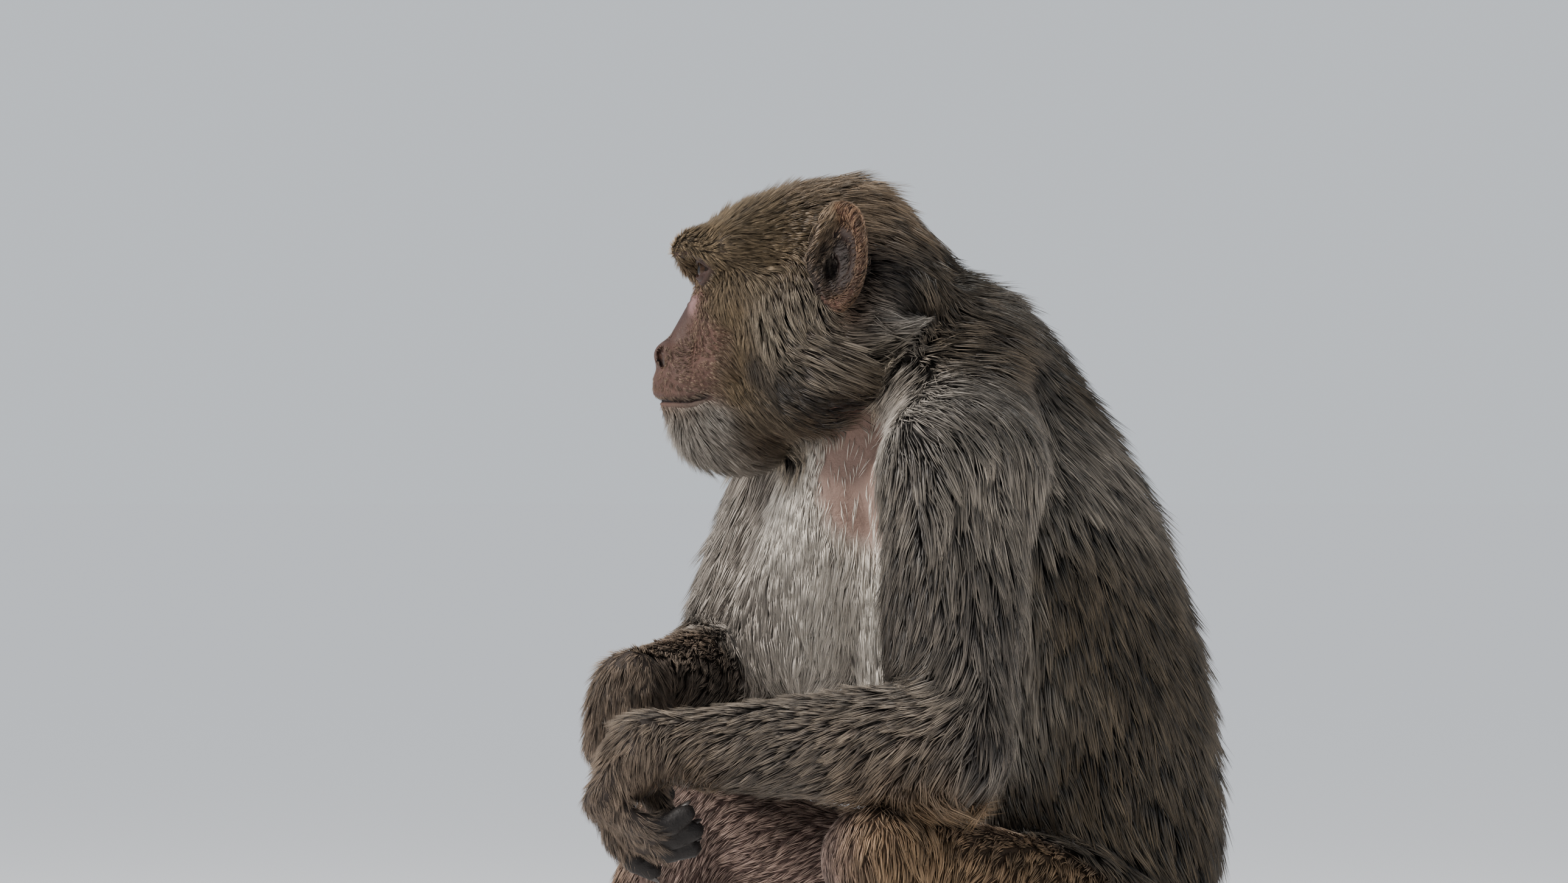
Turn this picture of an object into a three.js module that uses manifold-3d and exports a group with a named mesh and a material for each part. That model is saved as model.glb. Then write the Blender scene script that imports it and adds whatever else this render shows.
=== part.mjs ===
// Adult male rhesus macaque, a still life-size model: it sits on its rump with the knees up,
// the forearms resting on them, the hands hanging, and the head turned over the right shoulder.
// Millimetres, +Z up, the trunk faces -Y and its left side is +X. Surfaces are at the coat's tips.
import * as THREE from "three";
import { mergeVertices } from "three/addons/utils/BufferGeometryUtils.js";
import Module from "manifold-3d";

const wasm = await Module();
wasm.setup();

const at = (x, y, z) => new THREE.Vector3(x, y, z);
const degrees = THREE.MathUtils.degToRad;
const { clamp, lerp } = THREE.MathUtils;

// ---------- driving dimensions ----------
const GAP = 0.3; // every thin cut between two parts
const CELL = { trunk: 33, skull: 19, face: 10.8, foot: 15, hand: 12 }; // facet sizes of the blended parts
const LIMB_FACETS = [10, 8]; // round a bar and along it
const DIGIT_FACETS = [6, 6];
const TAIL_FACETS = [8, 14];
const HEAD_TURN = degrees(42); // to the animal's right, from the trunk's heading
const HEAD_PIVOT = at(0, -25, 430); // where the skull sits on the neck
const EYE_RADIUS = 10;

// The trunk's level sections: height, how far back the middle is, half width, half depth.
const TRUNK_SECTIONS = [
  [5, 68, 42, 40],
  [18, 70, 68, 64],
  [50, 74, 84, 76],
  [110, 77, 91, 83],
  [160, 75, 99, 91],
  [226, 57, 104, 100],
  [290, 41, 100, 96],
  [339, 30, 92, 82],
  [387, 16, 72, 66],
  [412, 0, 62, 57],
  [436, -20, 48, 44],
];

// Joint centres: shoulder, elbow and wrist; hip, knee and ankle. `reach` and `drop` go from the wrist
// to the knuckles, forwards and down; `toes` is the foot's heading.
const LIMBS = {
  left: {
    arm: [at(80, -50, 345), at(103, -72, 206), at(14, -203, 204)],
    reach: 20,
    drop: 27,
    leg: [at(50, 62, 86), at(80, -100, 146), at(76, -14, 29)],
    toes: degrees(8),
  },
  right: {
    arm: [at(-92, -24, 338), at(-122, -57, 233), at(-38, -175, 235)],
    reach: 6,
    drop: 33,
    leg: [at(-50, 62, 86), at(-116, -82, 160), at(-112, -150, 29)],
    toes: degrees(20),
  },
};
const ARM_RADII = { shoulder: 46, elbow: 37, wrist: 22 };
const SHOULDER_INSET = 58; // an upper arm's inner end, from the middle of the body
const CHEEK_REST = { x: 62, z: 366 }; // where the cheeks' coat meets the shoulders
const LEG_RADII = { hip: 60, knee: 35, ankle: 19 };
const SOLE_LENGTH = 104; // heel to the roots of the toes
// A foot, from its ankle: how far behind the heel and how far ahead the instep is, their height, the
// radii of heel, instep and ball, and half the width between the two sides of the ball.
const FOOT = { heel: 20, instep: 26, height: 15, radii: [16, 15, 12], ballHalf: 9, ballHeight: 10 };
const FOOT_SOFT = 9; // how softly a foot's masses join
const FOOT_CUT = 33; // the height at which a foot is parted from its shin
const TOES = { lengths: [38, 48, 52, 49, 42], middle: 3.5, spacing: 10.2, fan: 0.08, taper: 0.22 };
const BIG_TOE = { out: -14, root: 14, fan: -0.6 }; // it stands off on the inner side
const TOE_ARCH = [[0, 10], [0.38, 13], [0.72, 9.5], [1, 5.2]]; // share of a toe's length, and height
// A hand, from its wrist: the heel of the hand ahead and below, the radii of wrist, heel, palm and
// knuckles, and half the width between the two sides of heel and knuckles.
const HAND = { ahead: 6, down: 8, radii: [21, 17, 14, 11], heelHalf: 7, knuckleHalf: 13 };
const HAND_SOFT = 7; // how softly a hand's masses join
const FINGERS = { index: 14, spacing: 9.3, taper: 0.15 }; // how far thumbwards the index finger is
const THUMB = { back: 2, down: 14, out: 18, spread: 1.5 };
const DIGIT_RADII = { finger: 7, thumb: 6.6, toe: 7, bigToe: 8 };
const PAD = { centre: at(24, 70, 5), radii: at(17, 24, 9) }; // the left sitting pad
const TAIL = { radius: 16, taper: 0.42 };
const SIGN = { left: 1, right: -1 };

// ---------- materials ----------
const finish = (color, roughness) => new THREE.MeshStandardMaterial({ color, roughness, metalness: 0 });
const backFur = finish(0x6a5f52, 0.85);
const chestFur = finish(0xb0a698, 0.85);
const legFur = finish(0x8f7350, 0.85);
const faceSkin = finish(0x9b6a58, 0.6);
const darkSkin = finish(0x2e2624, 0.65);
const padSkin = finish(0xa77a70, 0.6);
const eyeball = finish(0x5a3413, 0.15);

// ---------- fields: the signed distance to a rounded body ----------
const ellipsoid = (centre, radii) => (p) => {
  const scaled = p.clone().sub(centre).divide(radii);
  const steep = scaled.clone().divide(radii).length();
  const k = scaled.length();
  return steep < 1e-9 ? -Math.min(radii.x, radii.y, radii.z) : (k * (k - 1)) / steep;
};

// A cone with a ball of radius ra at a and one of radius rb at b.
const cone = (a, b, ra, rb) => {
  const axis = b.clone().sub(a);
  const square = axis.lengthSq();
  return (p) => {
    const q = p.clone().sub(a);
    const t = clamp(q.dot(axis) / square, 0, 1);
    return q.addScaledVector(axis, -t).length() - lerp(ra, rb, t);
  };
};

// A body with level oval sections, each number of which follows a smooth curve up the body.
const column = (sections) => {
  const curves = [1, 2, 3].map(
    (i) => new THREE.SplineCurve(sections.map((row) => new THREE.Vector2(row[0], row[i]))),
  );
  const last = sections.length - 1;
  return (p) => {
    const above = sections.findIndex((row) => row[0] > p.z);
    const i = above < 0 ? last - 1 : Math.max(above - 1, 0);
    const share = clamp((p.z - sections[i][0]) / (sections[i + 1][0] - sections[i][0]), 0, 1);
    const [back, wide, deep] = curves.map((curve) => curve.getPoint((i + share) / last).y);
    const oval = Math.max(Math.hypot(p.x / wide, (p.y - back) / deep), 1e-6);
    const steep = Math.max(Math.hypot(p.x / wide ** 2, (p.y - back) / deep ** 2), 1e-6);
    return Math.max((oval * (oval - 1)) / steep, sections[0][0] - p.z, p.z - sections[last][0]);
  };
};

const softMin = (a, b, softness) => {
  const near = Math.max(softness - Math.abs(a - b), 0) / softness;
  return Math.min(a, b) - (near * near * softness) / 4;
};
const blend = (softness, ...fields) => (p) =>
  fields.map((f) => f(p)).reduce((a, b) => softMin(a, b, softness));
const hollow = (softness, body, ...dents) => (p) =>
  dents.map((f) => -f(p)).reduce((a, b) => -softMin(-a, -b, softness), body(p));
const both = (make) => [make(1), make(-1)];

// ---------- solids ----------
function solidOf(geometry) {
  geometry.deleteAttribute("normal");
  geometry.deleteAttribute("uv");
  const merged = mergeVertices(geometry, 1e-3);
  const vertProperties = merged.attributes.position.array;
  const triVerts = new Uint32Array(withoutFolds(merged.index.array));
  return new wasm.Manifold(new wasm.Mesh({ numProp: 3, vertProperties, triVerts }));
}

// The facets without those that have shrunk to a line, or that lie back to back.
function withoutFolds(indices) {
  const facets = new Map();
  for (let i = 0; i < indices.length; i += 3) {
    const facet = [...indices.slice(i, i + 3)];
    if (new Set(facet).size < 3) continue;
    const key = facet.toSorted((a, b) => a - b).join();
    if (facets.has(key)) facets.delete(key);
    else facets.set(key, facet);
  }
  return [...facets.values()].flat();
}

const geometryOf = (solid) => {
  const { vertProperties, triVerts } = solid.getMesh();
  const geometry = new THREE.BufferGeometry();
  geometry.setAttribute("position", new THREE.BufferAttribute(vertProperties.slice(), 3));
  return geometry.setIndex(new THREE.BufferAttribute(triVerts.slice(), 1));
};

const slope = (field, p) => {
  const step = 0.5;
  const along = (x, y, z) => field(p.clone().add(at(x, y, z))) - field(p.clone().sub(at(x, y, z)));
  return at(along(step, 0, 0), along(0, step, 0), along(0, 0, step)).divideScalar(2 * step);
};

// The surface of a field inside a box: one point to each cell that it passes, drawn on to the
// surface, and one four-sided facet to each cell edge that it crosses. A body that runs out of the
// box is closed a cell inside it.
function netOf(endless, box, cell) {
  const middle = box.getCenter(at(0, 0, 0));
  const half = box.getSize(at(0, 0, 0)).multiplyScalar(0.5).subScalar(cell);
  const field = (p) => {
    const past = ["x", "y", "z"].map((axis) => Math.abs(p[axis] - middle[axis]) - half[axis]);
    return Math.max(endless(p), ...past);
  };
  const size = box.getSize(at(0, 0, 0)).divideScalar(cell).ceil();
  const [nx, ny, nz] = [size.x + 1, size.y + 1, size.z + 1];
  const corner = (i, j, k) => at(i, j, k).multiplyScalar(cell).add(box.min);
  const index = (i, j, k) => (k * ny + j) * nx + i;
  const values = new Float64Array(nx * ny * nz);
  const each = (low, visit) => {
    for (let k = low; k < nz - 1; k++)
      for (let j = low; j < ny - 1; j++) for (let i = low; i < nx - 1; i++) visit(i, j, k);
  };
  for (let k = 0; k < nz; k++)
    for (let j = 0; j < ny; j++) for (let i = 0; i < nx; i++) values[index(i, j, k)] = field(corner(i, j, k));

  const points = [];
  const pointOf = new Map();
  each(0, (i, j, k) => {
    const crossings = at(0, 0, 0);
    let count = 0;
    for (let a = 0; a < 8; a++)
      for (const bit of [1, 2, 4]) {
        if (a & bit) continue;
        const [p, q] = [a, a | bit].map((n) => [i + (n & 1), j + ((n >> 1) & 1), k + (n >> 2)]);
        const [u, v] = [values[index(...p)], values[index(...q)]];
        if (u < 0 === v < 0) continue;
        crossings.add(corner(...p).lerp(corner(...q), u / (u - v)));
        count++;
      }
    if (!count) return;
    const point = crossings.divideScalar(count);
    for (let pass = 0; pass < 3; pass++) {
      const normal = slope(field, point);
      const move = -field(point) / Math.max(normal.lengthSq(), 0.2);
      point.addScaledVector(normal, clamp(move, -cell / 4, cell / 4));
    }
    pointOf.set(index(i, j, k), points.length);
    points.push(point);
  });

  const facets = [];
  each(1, (i, j, k) => {
    const inside = values[index(i, j, k)] < 0;
    [[1, 0, 0], [0, 1, 0], [0, 0, 1]].forEach(([x, y, z]) => {
      if (values[index(i + x, j + y, k + z)] < 0 === inside) return;
      const [u, v] = [[y, z, x], [z, x, y]]; // the two directions across the edge
      const around = [[0, 0], [1, 0], [1, 1], [0, 1]].map(([s, t]) =>
        pointOf.get(index(i - s * u[0] - t * v[0], j - s * u[1] - t * v[1], k - s * u[2] - t * v[2])),
      );
      if (inside) around.reverse();
      const [a, b, c, d] = around;
      const short = points[a].distanceTo(points[c]) < points[b].distanceTo(points[d]);
      facets.push(...(short ? [a, b, c, a, c, d] : [a, b, d, b, c, d]));
    });
  });
  return new THREE.BufferGeometry().setFromPoints(points).setIndex(facets);
}

// The surface as a solid, at the first cell size, from the one given down, that leaves it shut.
const FINER = 0.98;
function surface(field, box, cell) {
  const solid = attempt(() => solidOf(netOf(field, box, cell)));
  return solid && shut(solid) ? solid : surface(field, box, cell * FINER);
}

// A round bar along a curve, with round ends; its radius is a function of the share of the length.
function bar(line, radius, [sides, rings]) {
  const geometry = new THREE.SphereGeometry(1, sides, rings);
  const place = geometry.attributes.position;
  const frames = line.computeFrenetFrames(rings);
  const ends = 2; // rings that round each end
  for (let i = 0; i < place.count; i++) {
    const ring = Math.round((Math.acos(clamp(place.getY(i), -1, 1)) / Math.PI) * rings);
    const round = Math.atan2(place.getZ(i), place.getX(i));
    const t = clamp((ring - ends) / (rings - 2 * ends), 0, 1);
    const past = ring < ends ? ring / ends - 1 : Math.max(ring - rings + ends, 0) / ends;
    const tilt = (past * Math.PI) / 2;
    const frame = Math.round(t * rings);
    const out = frames.normals[frame].clone().multiplyScalar(Math.cos(round));
    out.addScaledVector(frames.binormals[frame], -Math.sin(round)).multiplyScalar(Math.cos(tilt));
    out.addScaledVector(frames.tangents[frame], Math.sin(tilt)).multiplyScalar(radius(t));
    const point = line.getPointAt(t).add(out);
    place.setXYZ(i, point.x, point.y, point.z);
  }
  const solid = solidOf(geometry);
  return solid.volume() > 0 ? solid : solidOf(turnedInsideOut(geometry));
}
const turnedInsideOut = (geometry) => geometry.setIndex([...geometry.index.array].reverse());
const bent = (...points) => new THREE.CatmullRomCurve3(points, false, "centripetal");
const ball = (centre, radius, across, rings) =>
  solidOf(new THREE.SphereGeometry(radius, across, rings).translate(centre.x, centre.y, centre.z));

// The block of space in front of a plane, to be cut away, and the plane's turned copy.
const BLOCK = 900;
function ahead(plane, offset = -GAP / 2) {
  const geometry = new THREE.BoxGeometry(BLOCK, BLOCK, BLOCK);
  const middle = plane.normal.clone().multiplyScalar(BLOCK / 2 + offset - plane.constant);
  const turn = new THREE.Quaternion().setFromUnitVectors(at(0, 0, 1), plane.normal);
  return solidOf(geometry.applyQuaternion(turn).translate(middle.x, middle.y, middle.z));
}
const planeAt = (point, normal) =>
  new THREE.Plane().setFromNormalAndCoplanarPoint(normal.clone().normalize(), point);
const flipped = (plane) => plane.clone().negate();
const floorCut = ahead(planeAt(at(0, 0, 0), at(0, 0, -1)), 0);

// The room that a body takes: its surface moved out by a margin a little under the gap, so that its
// neighbour stops short of a plane that already parts them.
function roomOf(solid, margin) {
  const geometry = geometryOf(solid);
  geometry.computeVertexNormals();
  const { position, normal } = geometry.attributes;
  for (let i = 0; i < position.count * 3; i++) position.array[i] += margin * normal.array[i];
  return solidOf(geometry);
}

// The same solid with its corners on a fine grid, so that the crumbs a cut leaves shrink to a point.
function onGrid(solid, grid) {
  const geometry = geometryOf(solid);
  const { array } = geometry.attributes.position;
  for (let i = 0; i < array.length; i++) array[i] = Math.round(array[i] / grid) * grid;
  return solidOf(geometry);
}

// Whether each edge of a solid lies between just two facets.
function shut(solid) {
  const { index } = mergeVertices(geometryOf(solid), 1e-3);
  const edges = new Map();
  for (let i = 0; i < index.count; i++) {
    const next = i % 3 === 2 ? i - 2 : i + 1;
    const key = [index.getX(i), index.getX(next)].sort((a, b) => a - b).join();
    edges.set(key, (edges.get(key) ?? 0) + 1);
  }
  return [...edges.values()].every((count) => count === 2);
}

// Every body is cut by its own planes, by the floor and by the room of each body placed before it.
// The margin and the grid are the first of these that leave it whole, shut and clear of the others.
const MARGINS = [0.9, 1, 0.8, 1.1, 0.7].map((share) => share * GAP);
const GRIDS = [0.03, 0.02, 0.013, 0.01, 0.007, 0.004];
const CLEAR = 0.004; // mm3 that two bodies may share where their corners were rounded
const monkey = new THREE.Group();
const placed = [];
function place(name, solid, pivot, material, cuts = []) {
  const near = placed.filter((other) => meet(solid, other));
  const body = sound(solid, [floorCut, ...cuts], near);
  if (!body) throw new Error(`${name} cannot be cut clear of its neighbours`);
  const geometry = geometryOf(body).translate(-pivot.x, -pivot.y, -pivot.z);
  const mesh = new THREE.Mesh(geometry, material);
  mesh.name = name;
  mesh.position.copy(pivot);
  monkey.add(mesh);
  placed.push(body);
}
function sound(solid, cuts, near) {
  for (const margin of MARGINS) {
    const rooms = near.map((other) => roomOf(other, margin).add(other));
    const cut = [...cuts, ...rooms].reduce((rest, cutter) => rest.subtract(cutter), solid);
    const whole = cut.decompose().reduce((a, b) => (a.volume() > b.volume() ? a : b));
    for (const grid of GRIDS) {
      const body = attempt(() => onGrid(whole, grid));
      const fits = body && body.decompose().length === 1 && shut(body);
      if (fits && near.every((other) => body.intersect(other).volume() < CLEAR)) return body;
    }
  }
}
function attempt(make) {
  try {
    return make();
  } catch {
    return null;
  }
}
function meet(one, other) {
  const [a, b] = [one.boundingBox(), other.boundingBox()];
  return [0, 1, 2].every((i) => a.min[i] < b.max[i] + GAP && b.min[i] < a.max[i] + GAP);
}

// ---------- head, in its own frame: x left, y back, z up from the pivot ----------
const headFrame = new THREE.Matrix4().makeRotationZ(-HEAD_TURN).setPosition(HEAD_PIVOT);
const toHead = headFrame.clone().invert();
const inHead = (x, y, z) => at(x, y, z).applyMatrix4(headFrame);
const headWay = (x, y, z) => at(x, y, z).transformDirection(headFrame);

const cranium = ellipsoid(at(0, -44, 24), at(48, 62, 50));
const napeRuff = ellipsoid(at(0, -2, 8), at(53, 33, 32));
const brow = [
  cone(at(-15, -109, 33), at(15, -109, 33), 13, 13),
  ...both((s) => cone(at(s * 15, -109, 33), at(s * 33, -90, 28), 12.5, 9)),
];
const noseBridge = cone(at(0, -96, 16), at(0, -116, -21), 12.5, 13.5);
const noseTip = ellipsoid(at(0, -126, -21), at(11, 8, 7));
const muzzle = ellipsoid(at(0, -98, -36), at(28, 37, 24));
const chin = ellipsoid(at(0, -92, -58), at(27, 38, 30));
const jaw = both((s) => cone(at(s * 10, -92, -52), at(s * 34, -40, -34), 20, 27));
const cheek = both((s) => ellipsoid(at(s * 29, -46, -11), at(30, 46, 46)));
const cheekbone = both((s) => ellipsoid(at(s * 26, -73, 11), at(19, 25, 20)));
const socket = both((s) => ellipsoid(at(s * 23, -112, 23), at(17, 14, 7.5)));
const eyeCentre = (s) => inHead(s * 17, -98, 24);
const face = hollow(4, blend(8, ...brow, noseBridge, muzzle, chin, ...jaw, ...cheekbone), ...socket);
const braincase = blend(14, cranium, napeRuff, ...cheek);
const headShape = blend(7, face, braincase, noseTip);
const headField = (p) => headShape(p.clone().applyMatrix4(toHead));

// ---------- trunk and neck ----------
const coreField = blend(16, column(TRUNK_SECTIONS), headField);
const neckBase = planeAt(at(0, 8, 384), at(0, -0.42, 0.91));
const skullBase = planeAt(inHead(0, 10, -14), headWay(0, -0.62, 0.78));
const mouthLine = planeAt(inHead(0, -100, -46), headWay(0, 0.03, 1));
const faceEdge = planeAt(inHead(0, -66, 0), headWay(0, -1, 0));
const throat = planeAt(inHead(0, -52, -50), headWay(0, -0.87, 0.5));

const coreBox = new THREE.Box3(at(-160, -170, -40), at(160, 200, 540));
const core = surface(coreField, coreBox, CELL.trunk);
for (const [side, s] of Object.entries(SIGN)) {
  const centre = at(s * PAD.centre.x, PAD.centre.y, PAD.centre.z);
  const pad = new THREE.SphereGeometry(1, 10, 6).scale(...PAD.radii).translate(...centre);
  place(`sitting_pad_${side}`, solidOf(pad), centre, padSkin);
}
place("trunk", core, at(0, 60, 150), backFur, [ahead(neckBase)]);
place("neck", core, at(0, -10, 386), backFur, [ahead(flipped(neckBase)), ahead(skullBase)]);
for (const [side, s] of Object.entries(SIGN))
  place(`eye_${side}`, ball(eyeCentre(s), EYE_RADIUS, 10, 7), eyeCentre(s), eyeball);

const headBox = new THREE.Box3().setFromCenterAndSize(inHead(0, -42, -4), at(230, 230, 220));
const behindNeck = [ahead(flipped(neckBase)), ahead(flipped(skullBase))].reduce((a, b) => a.add(b));
const skull = surface(coreField, headBox, CELL.skull).subtract(behindNeck);
const front = surface(coreField, headBox, CELL.face).subtract(behindNeck);
const aboveJaw = ahead(mouthLine).add(ahead(flipped(throat)));
const jawSpace = ahead(flipped(mouthLine)).subtract(ahead(flipped(throat), GAP / 2));
place("lower_jaw", front, inHead(0, -60, -50), chestFur, [aboveJaw]);
place("face", front, inHead(0, -90, 0), faceSkin, [ahead(flipped(faceEdge)), jawSpace]);
place("skull", skull, HEAD_PIVOT, backFur, [ahead(faceEdge), jawSpace]);

// ---------- ears: cupped shells with a thicker rim, standing off behind the cheeks ----------
const EAR = { half: at(16, 27, 2.4), cup: 8, rim: 1.1, lean: degrees(20), tilt: degrees(-10) };
const EAR_ROOT = at(54, -27, 28);
function ear(s) {
  const geometry = new THREE.SphereGeometry(1, 12, 7);
  const place = geometry.attributes.position;
  for (let i = 0; i < place.count; i++) {
    const [x, y, z] = [place.getX(i), place.getY(i), place.getZ(i)];
    const out = Math.min(x * x + y * y, 1);
    const tip = 1 + 0.14 * Math.max(y, 0) * x; // the upper back edge comes to a soft point
    const thick = EAR.half.z * z * (1 + EAR.rim * out);
    place.setXYZ(i, EAR.half.x * x * tip, EAR.half.y * y * tip, thick + EAR.cup * out * out);
  }
  // From x back, y up, z outwards to the head's own axes, then on to the left or right side.
  geometry.rotateY(-EAR.lean).rotateX(EAR.tilt);
  const axes = new THREE.Matrix4().makeBasis(at(0, 1, 0), at(0, 0, 1), at(1, 0, 0));
  geometry.applyMatrix4(axes).translate(EAR_ROOT.x, EAR_ROOT.y, EAR_ROOT.z);
  if (s < 0) turnedInsideOut(geometry.scale(-1, 1, 1));
  return solidOf(geometry.applyMatrix4(headFrame));
}
for (const [side, s] of Object.entries(SIGN))
  place(`ear_${side}`, ear(s), inHead(s * EAR_ROOT.x, EAR_ROOT.y, EAR_ROOT.z), faceSkin);

// The plane that parts a limb at a joint, halfway between the two bones' headings.
const jointPlane = (before, joint, after) =>
  planeAt(joint, after.clone().sub(joint).normalize().add(joint.clone().sub(before).normalize()));
const straight = (a, b) => new THREE.LineCurve3(a, b);
const swelling = (first, last, more) => (t) => lerp(first, last, t) + more * Math.sin(Math.PI * t);
const boxRound = (points, margin) => new THREE.Box3().setFromPoints(points).expandByScalar(margin);

// ---------- legs ----------
for (const [side, { leg, toes }] of Object.entries(LIMBS)) {
  const [hip, knee, ankle] = leg;
  const s = SIGN[side];
  const forward = at(s * Math.sin(toes), -Math.cos(toes), 0);
  const beside = at(s * Math.cos(toes), Math.sin(toes), 0); // towards the little toe
  const onFoot = (along, out, up) =>
    at(ankle.x, ankle.y, up).addScaledVector(forward, along).addScaledVector(beside, out);
  const [heelRadius, instepRadius, ballRadius] = FOOT.radii;
  const heel = onFoot(-FOOT.heel, 0, FOOT.height);
  const instep = onFoot(FOOT.instep, 0, FOOT.height);
  const toeRoots = SOLE_LENGTH - FOOT.heel - heelRadius;
  const sideTo = (out) => cone(instep, onFoot(toeRoots, out, FOOT.ballHeight), instepRadius, ballRadius);
  const footMass = blend(
    FOOT_SOFT, cone(heel, instep, heelRadius, heelRadius), sideTo(-FOOT.ballHalf), sideTo(FOOT.ballHalf),
  );
  const kneePlane = jointPlane(hip, knee, ankle);
  const anklePlane = planeAt(at(ankle.x, ankle.y, FOOT_CUT), at(0, 0, -1));
  const thigh = bar(straight(hip, knee), swelling(LEG_RADII.hip, LEG_RADII.knee, 5), LIMB_FACETS);
  const shin = bar(straight(knee, ankle), swelling(LEG_RADII.knee, LEG_RADII.ankle, 4), LIMB_FACETS);
  const toFoot = blend(FOOT_SOFT, cone(knee, ankle, LEG_RADII.knee, LEG_RADII.ankle), footMass);
  const footBox = boxRound([heel, onFoot(toeRoots, 0, FOOT.ballHeight)], 42);
  const foot = surface(toFoot, footBox, CELL.foot);
  place(`thigh_${side}`, thigh, hip, legFur, [ahead(kneePlane)]);
  place(`shin_${side}`, shin, knee, legFur, [ahead(flipped(kneePlane)), ahead(anklePlane)]);
  place(`foot_${side}`, foot, ankle, darkSkin, [ahead(flipped(anklePlane))]);

  // Four toes side by side, and a big toe that stands off on the inner side.
  for (let toe = 1; toe <= 5; toe++) {
    const big = toe === 1;
    const out = big ? BIG_TOE.out : (toe - TOES.middle) * TOES.spacing;
    const root = big ? BIG_TOE.root : toeRoots;
    const fan = big ? BIG_TOE.fan : (toe - TOES.middle) * TOES.fan;
    const reachOut = forward.clone().addScaledVector(beside, fan).normalize();
    reachOut.multiplyScalar(TOES.lengths[toe - 1]);
    const joints = TOE_ARCH.map(([share, up]) => onFoot(root, out, up).addScaledVector(reachOut, share));
    const radius = big ? DIGIT_RADII.bigToe : DIGIT_RADII.toe;
    const solid = bar(bent(...joints), (t) => radius * (1 - TOES.taper * t), DIGIT_FACETS);
    place(`toe_${side}_${toe}`, solid, joints[0], darkSkin);
  }
}

// ---------- arms ----------
// How far each bone of a digit has turned from hanging straight down to pointing back, and its length.
const CURL = {
  1: [20, 40, 60],
  2: [22, 42, 58],
  3: [18, 52, 72],
  4: [52, 84, 118],
  5: [60, 92, 130],
};
const BONES = { 1: [14, 12, 7], 2: [25, 17, 11], 3: [28, 19, 12], 4: [27, 18, 11], 5: [23, 15, 10] };
for (const [side, { arm, reach, drop }] of Object.entries(LIMBS)) {
  const [shoulder, elbow, wrist] = arm;
  const heading = wrist.clone().sub(elbow).setZ(0).normalize(); // the forearm's, on the level
  const across = at(heading.y, -heading.x, 0).multiplyScalar(SIGN[side]); // towards the thumb
  const onHand = (back, down, thumbwards) =>
    wrist.clone().addScaledVector(heading, -back).addScaledVector(across, thumbwards).add(at(0, 0, -down));
  const [wristRadius, heelRadius, palmRadius, knuckleRadius] = HAND.radii;
  const heelOf = (out) => onHand(-HAND.ahead, HAND.down, out);
  const half = (s) =>
    cone(heelOf(s * HAND.heelHalf), onHand(-reach, drop, s * HAND.knuckleHalf), palmRadius, knuckleRadius);
  const toWrist = cone(elbow, wrist, ARM_RADII.elbow, ARM_RADII.wrist);
  const palm = blend(HAND_SOFT, toWrist, cone(wrist, heelOf(0), wristRadius, heelRadius), half(1), half(-1));
  const elbowPlane = jointPlane(shoulder, elbow, wrist);
  const wristPlane = planeAt(onHand(-2, 3, 0), heading.clone().add(at(0, 0, -0.5)));
  const besideTrunk = planeAt(at(SIGN[side] * SHOULDER_INSET, 0, 0), at(-SIGN[side], 0, 0));
  const underCheek = planeAt(at(SIGN[side] * CHEEK_REST.x, 0, CHEEK_REST.z), at(-SIGN[side] * 0.5, 0, 0.87));
  const upperRadius = swelling(ARM_RADII.shoulder, ARM_RADII.elbow, 1);
  const upperArm = bar(straight(shoulder, elbow), upperRadius, LIMB_FACETS);
  const forearm = bar(straight(elbow, wrist), swelling(ARM_RADII.elbow, ARM_RADII.wrist, 2), LIMB_FACETS);
  const hand = surface(palm, boxRound([wrist, onHand(-reach, drop, 0)], 38), CELL.hand);
  const upperPlanes = [elbowPlane, besideTrunk, underCheek];
  place(`upper_arm_${side}`, upperArm, shoulder, backFur, upperPlanes.map((plane) => ahead(plane)));
  place(`forearm_${side}`, forearm, elbow, backFur, [ahead(flipped(elbowPlane)), ahead(wristPlane)]);
  place(`hand_${side}`, hand, wrist, darkSkin, [ahead(flipped(wristPlane))]);

  for (let finger = 1; finger <= 5; finger++) {
    const thumb = finger === 1;
    let back = thumb ? THUMB.back : -reach;
    let down = thumb ? THUMB.down : drop;
    let out = thumb ? THUMB.out : FINGERS.index - (finger - 2) * FINGERS.spacing;
    const joints = [onHand(back, down, out)];
    BONES[finger].forEach((bone, i) => {
      const angle = degrees(CURL[finger][i]);
      back += bone * Math.sin(angle);
      down += bone * Math.cos(angle);
      out += thumb ? THUMB.spread : 0;
      joints.push(onHand(back, down, out));
    });
    const radius = thumb ? DIGIT_RADII.thumb : DIGIT_RADII.finger;
    const solid = bar(bent(...joints), (t) => radius * (1 - FINGERS.taper * t), DIGIT_FACETS);
    place(`finger_${side}_${finger}`, solid, joints[0], darkSkin);
  }
}

// ---------- tail ----------
const tailLine = bent(
  at(0, 140, 66), at(-4, 176, 42), at(-22, 208, 18), at(-58, 222, 12), at(-98, 214, 11), at(-132, 192, 10),
);
const tail = bar(tailLine, (t) => TAIL.radius * (1 - TAIL.taper * t), TAIL_FACETS);
const tailMiddle = planeAt(tailLine.getPointAt(0.5), tailLine.getTangentAt(0.5));
place("tail_base", tail, tailLine.getPointAt(0), backFur, [ahead(tailMiddle)]);
place("tail_tip", tail, tailLine.getPointAt(0.5), backFur, [ahead(flipped(tailMiddle))]);

// The origin goes on the floor under the middle of the whole animal.
const middle = new THREE.Box3().setFromObject(monkey).getCenter(at(0, 0, 0));
monkey.position.set(-middle.x, -middle.y, 0);

export default monkey;
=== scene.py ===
"""The looks of an adult male rhesus macaque, a still life-size model.

Metres, with +Z up; the trunk faces -Y.
"""

import math

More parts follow.
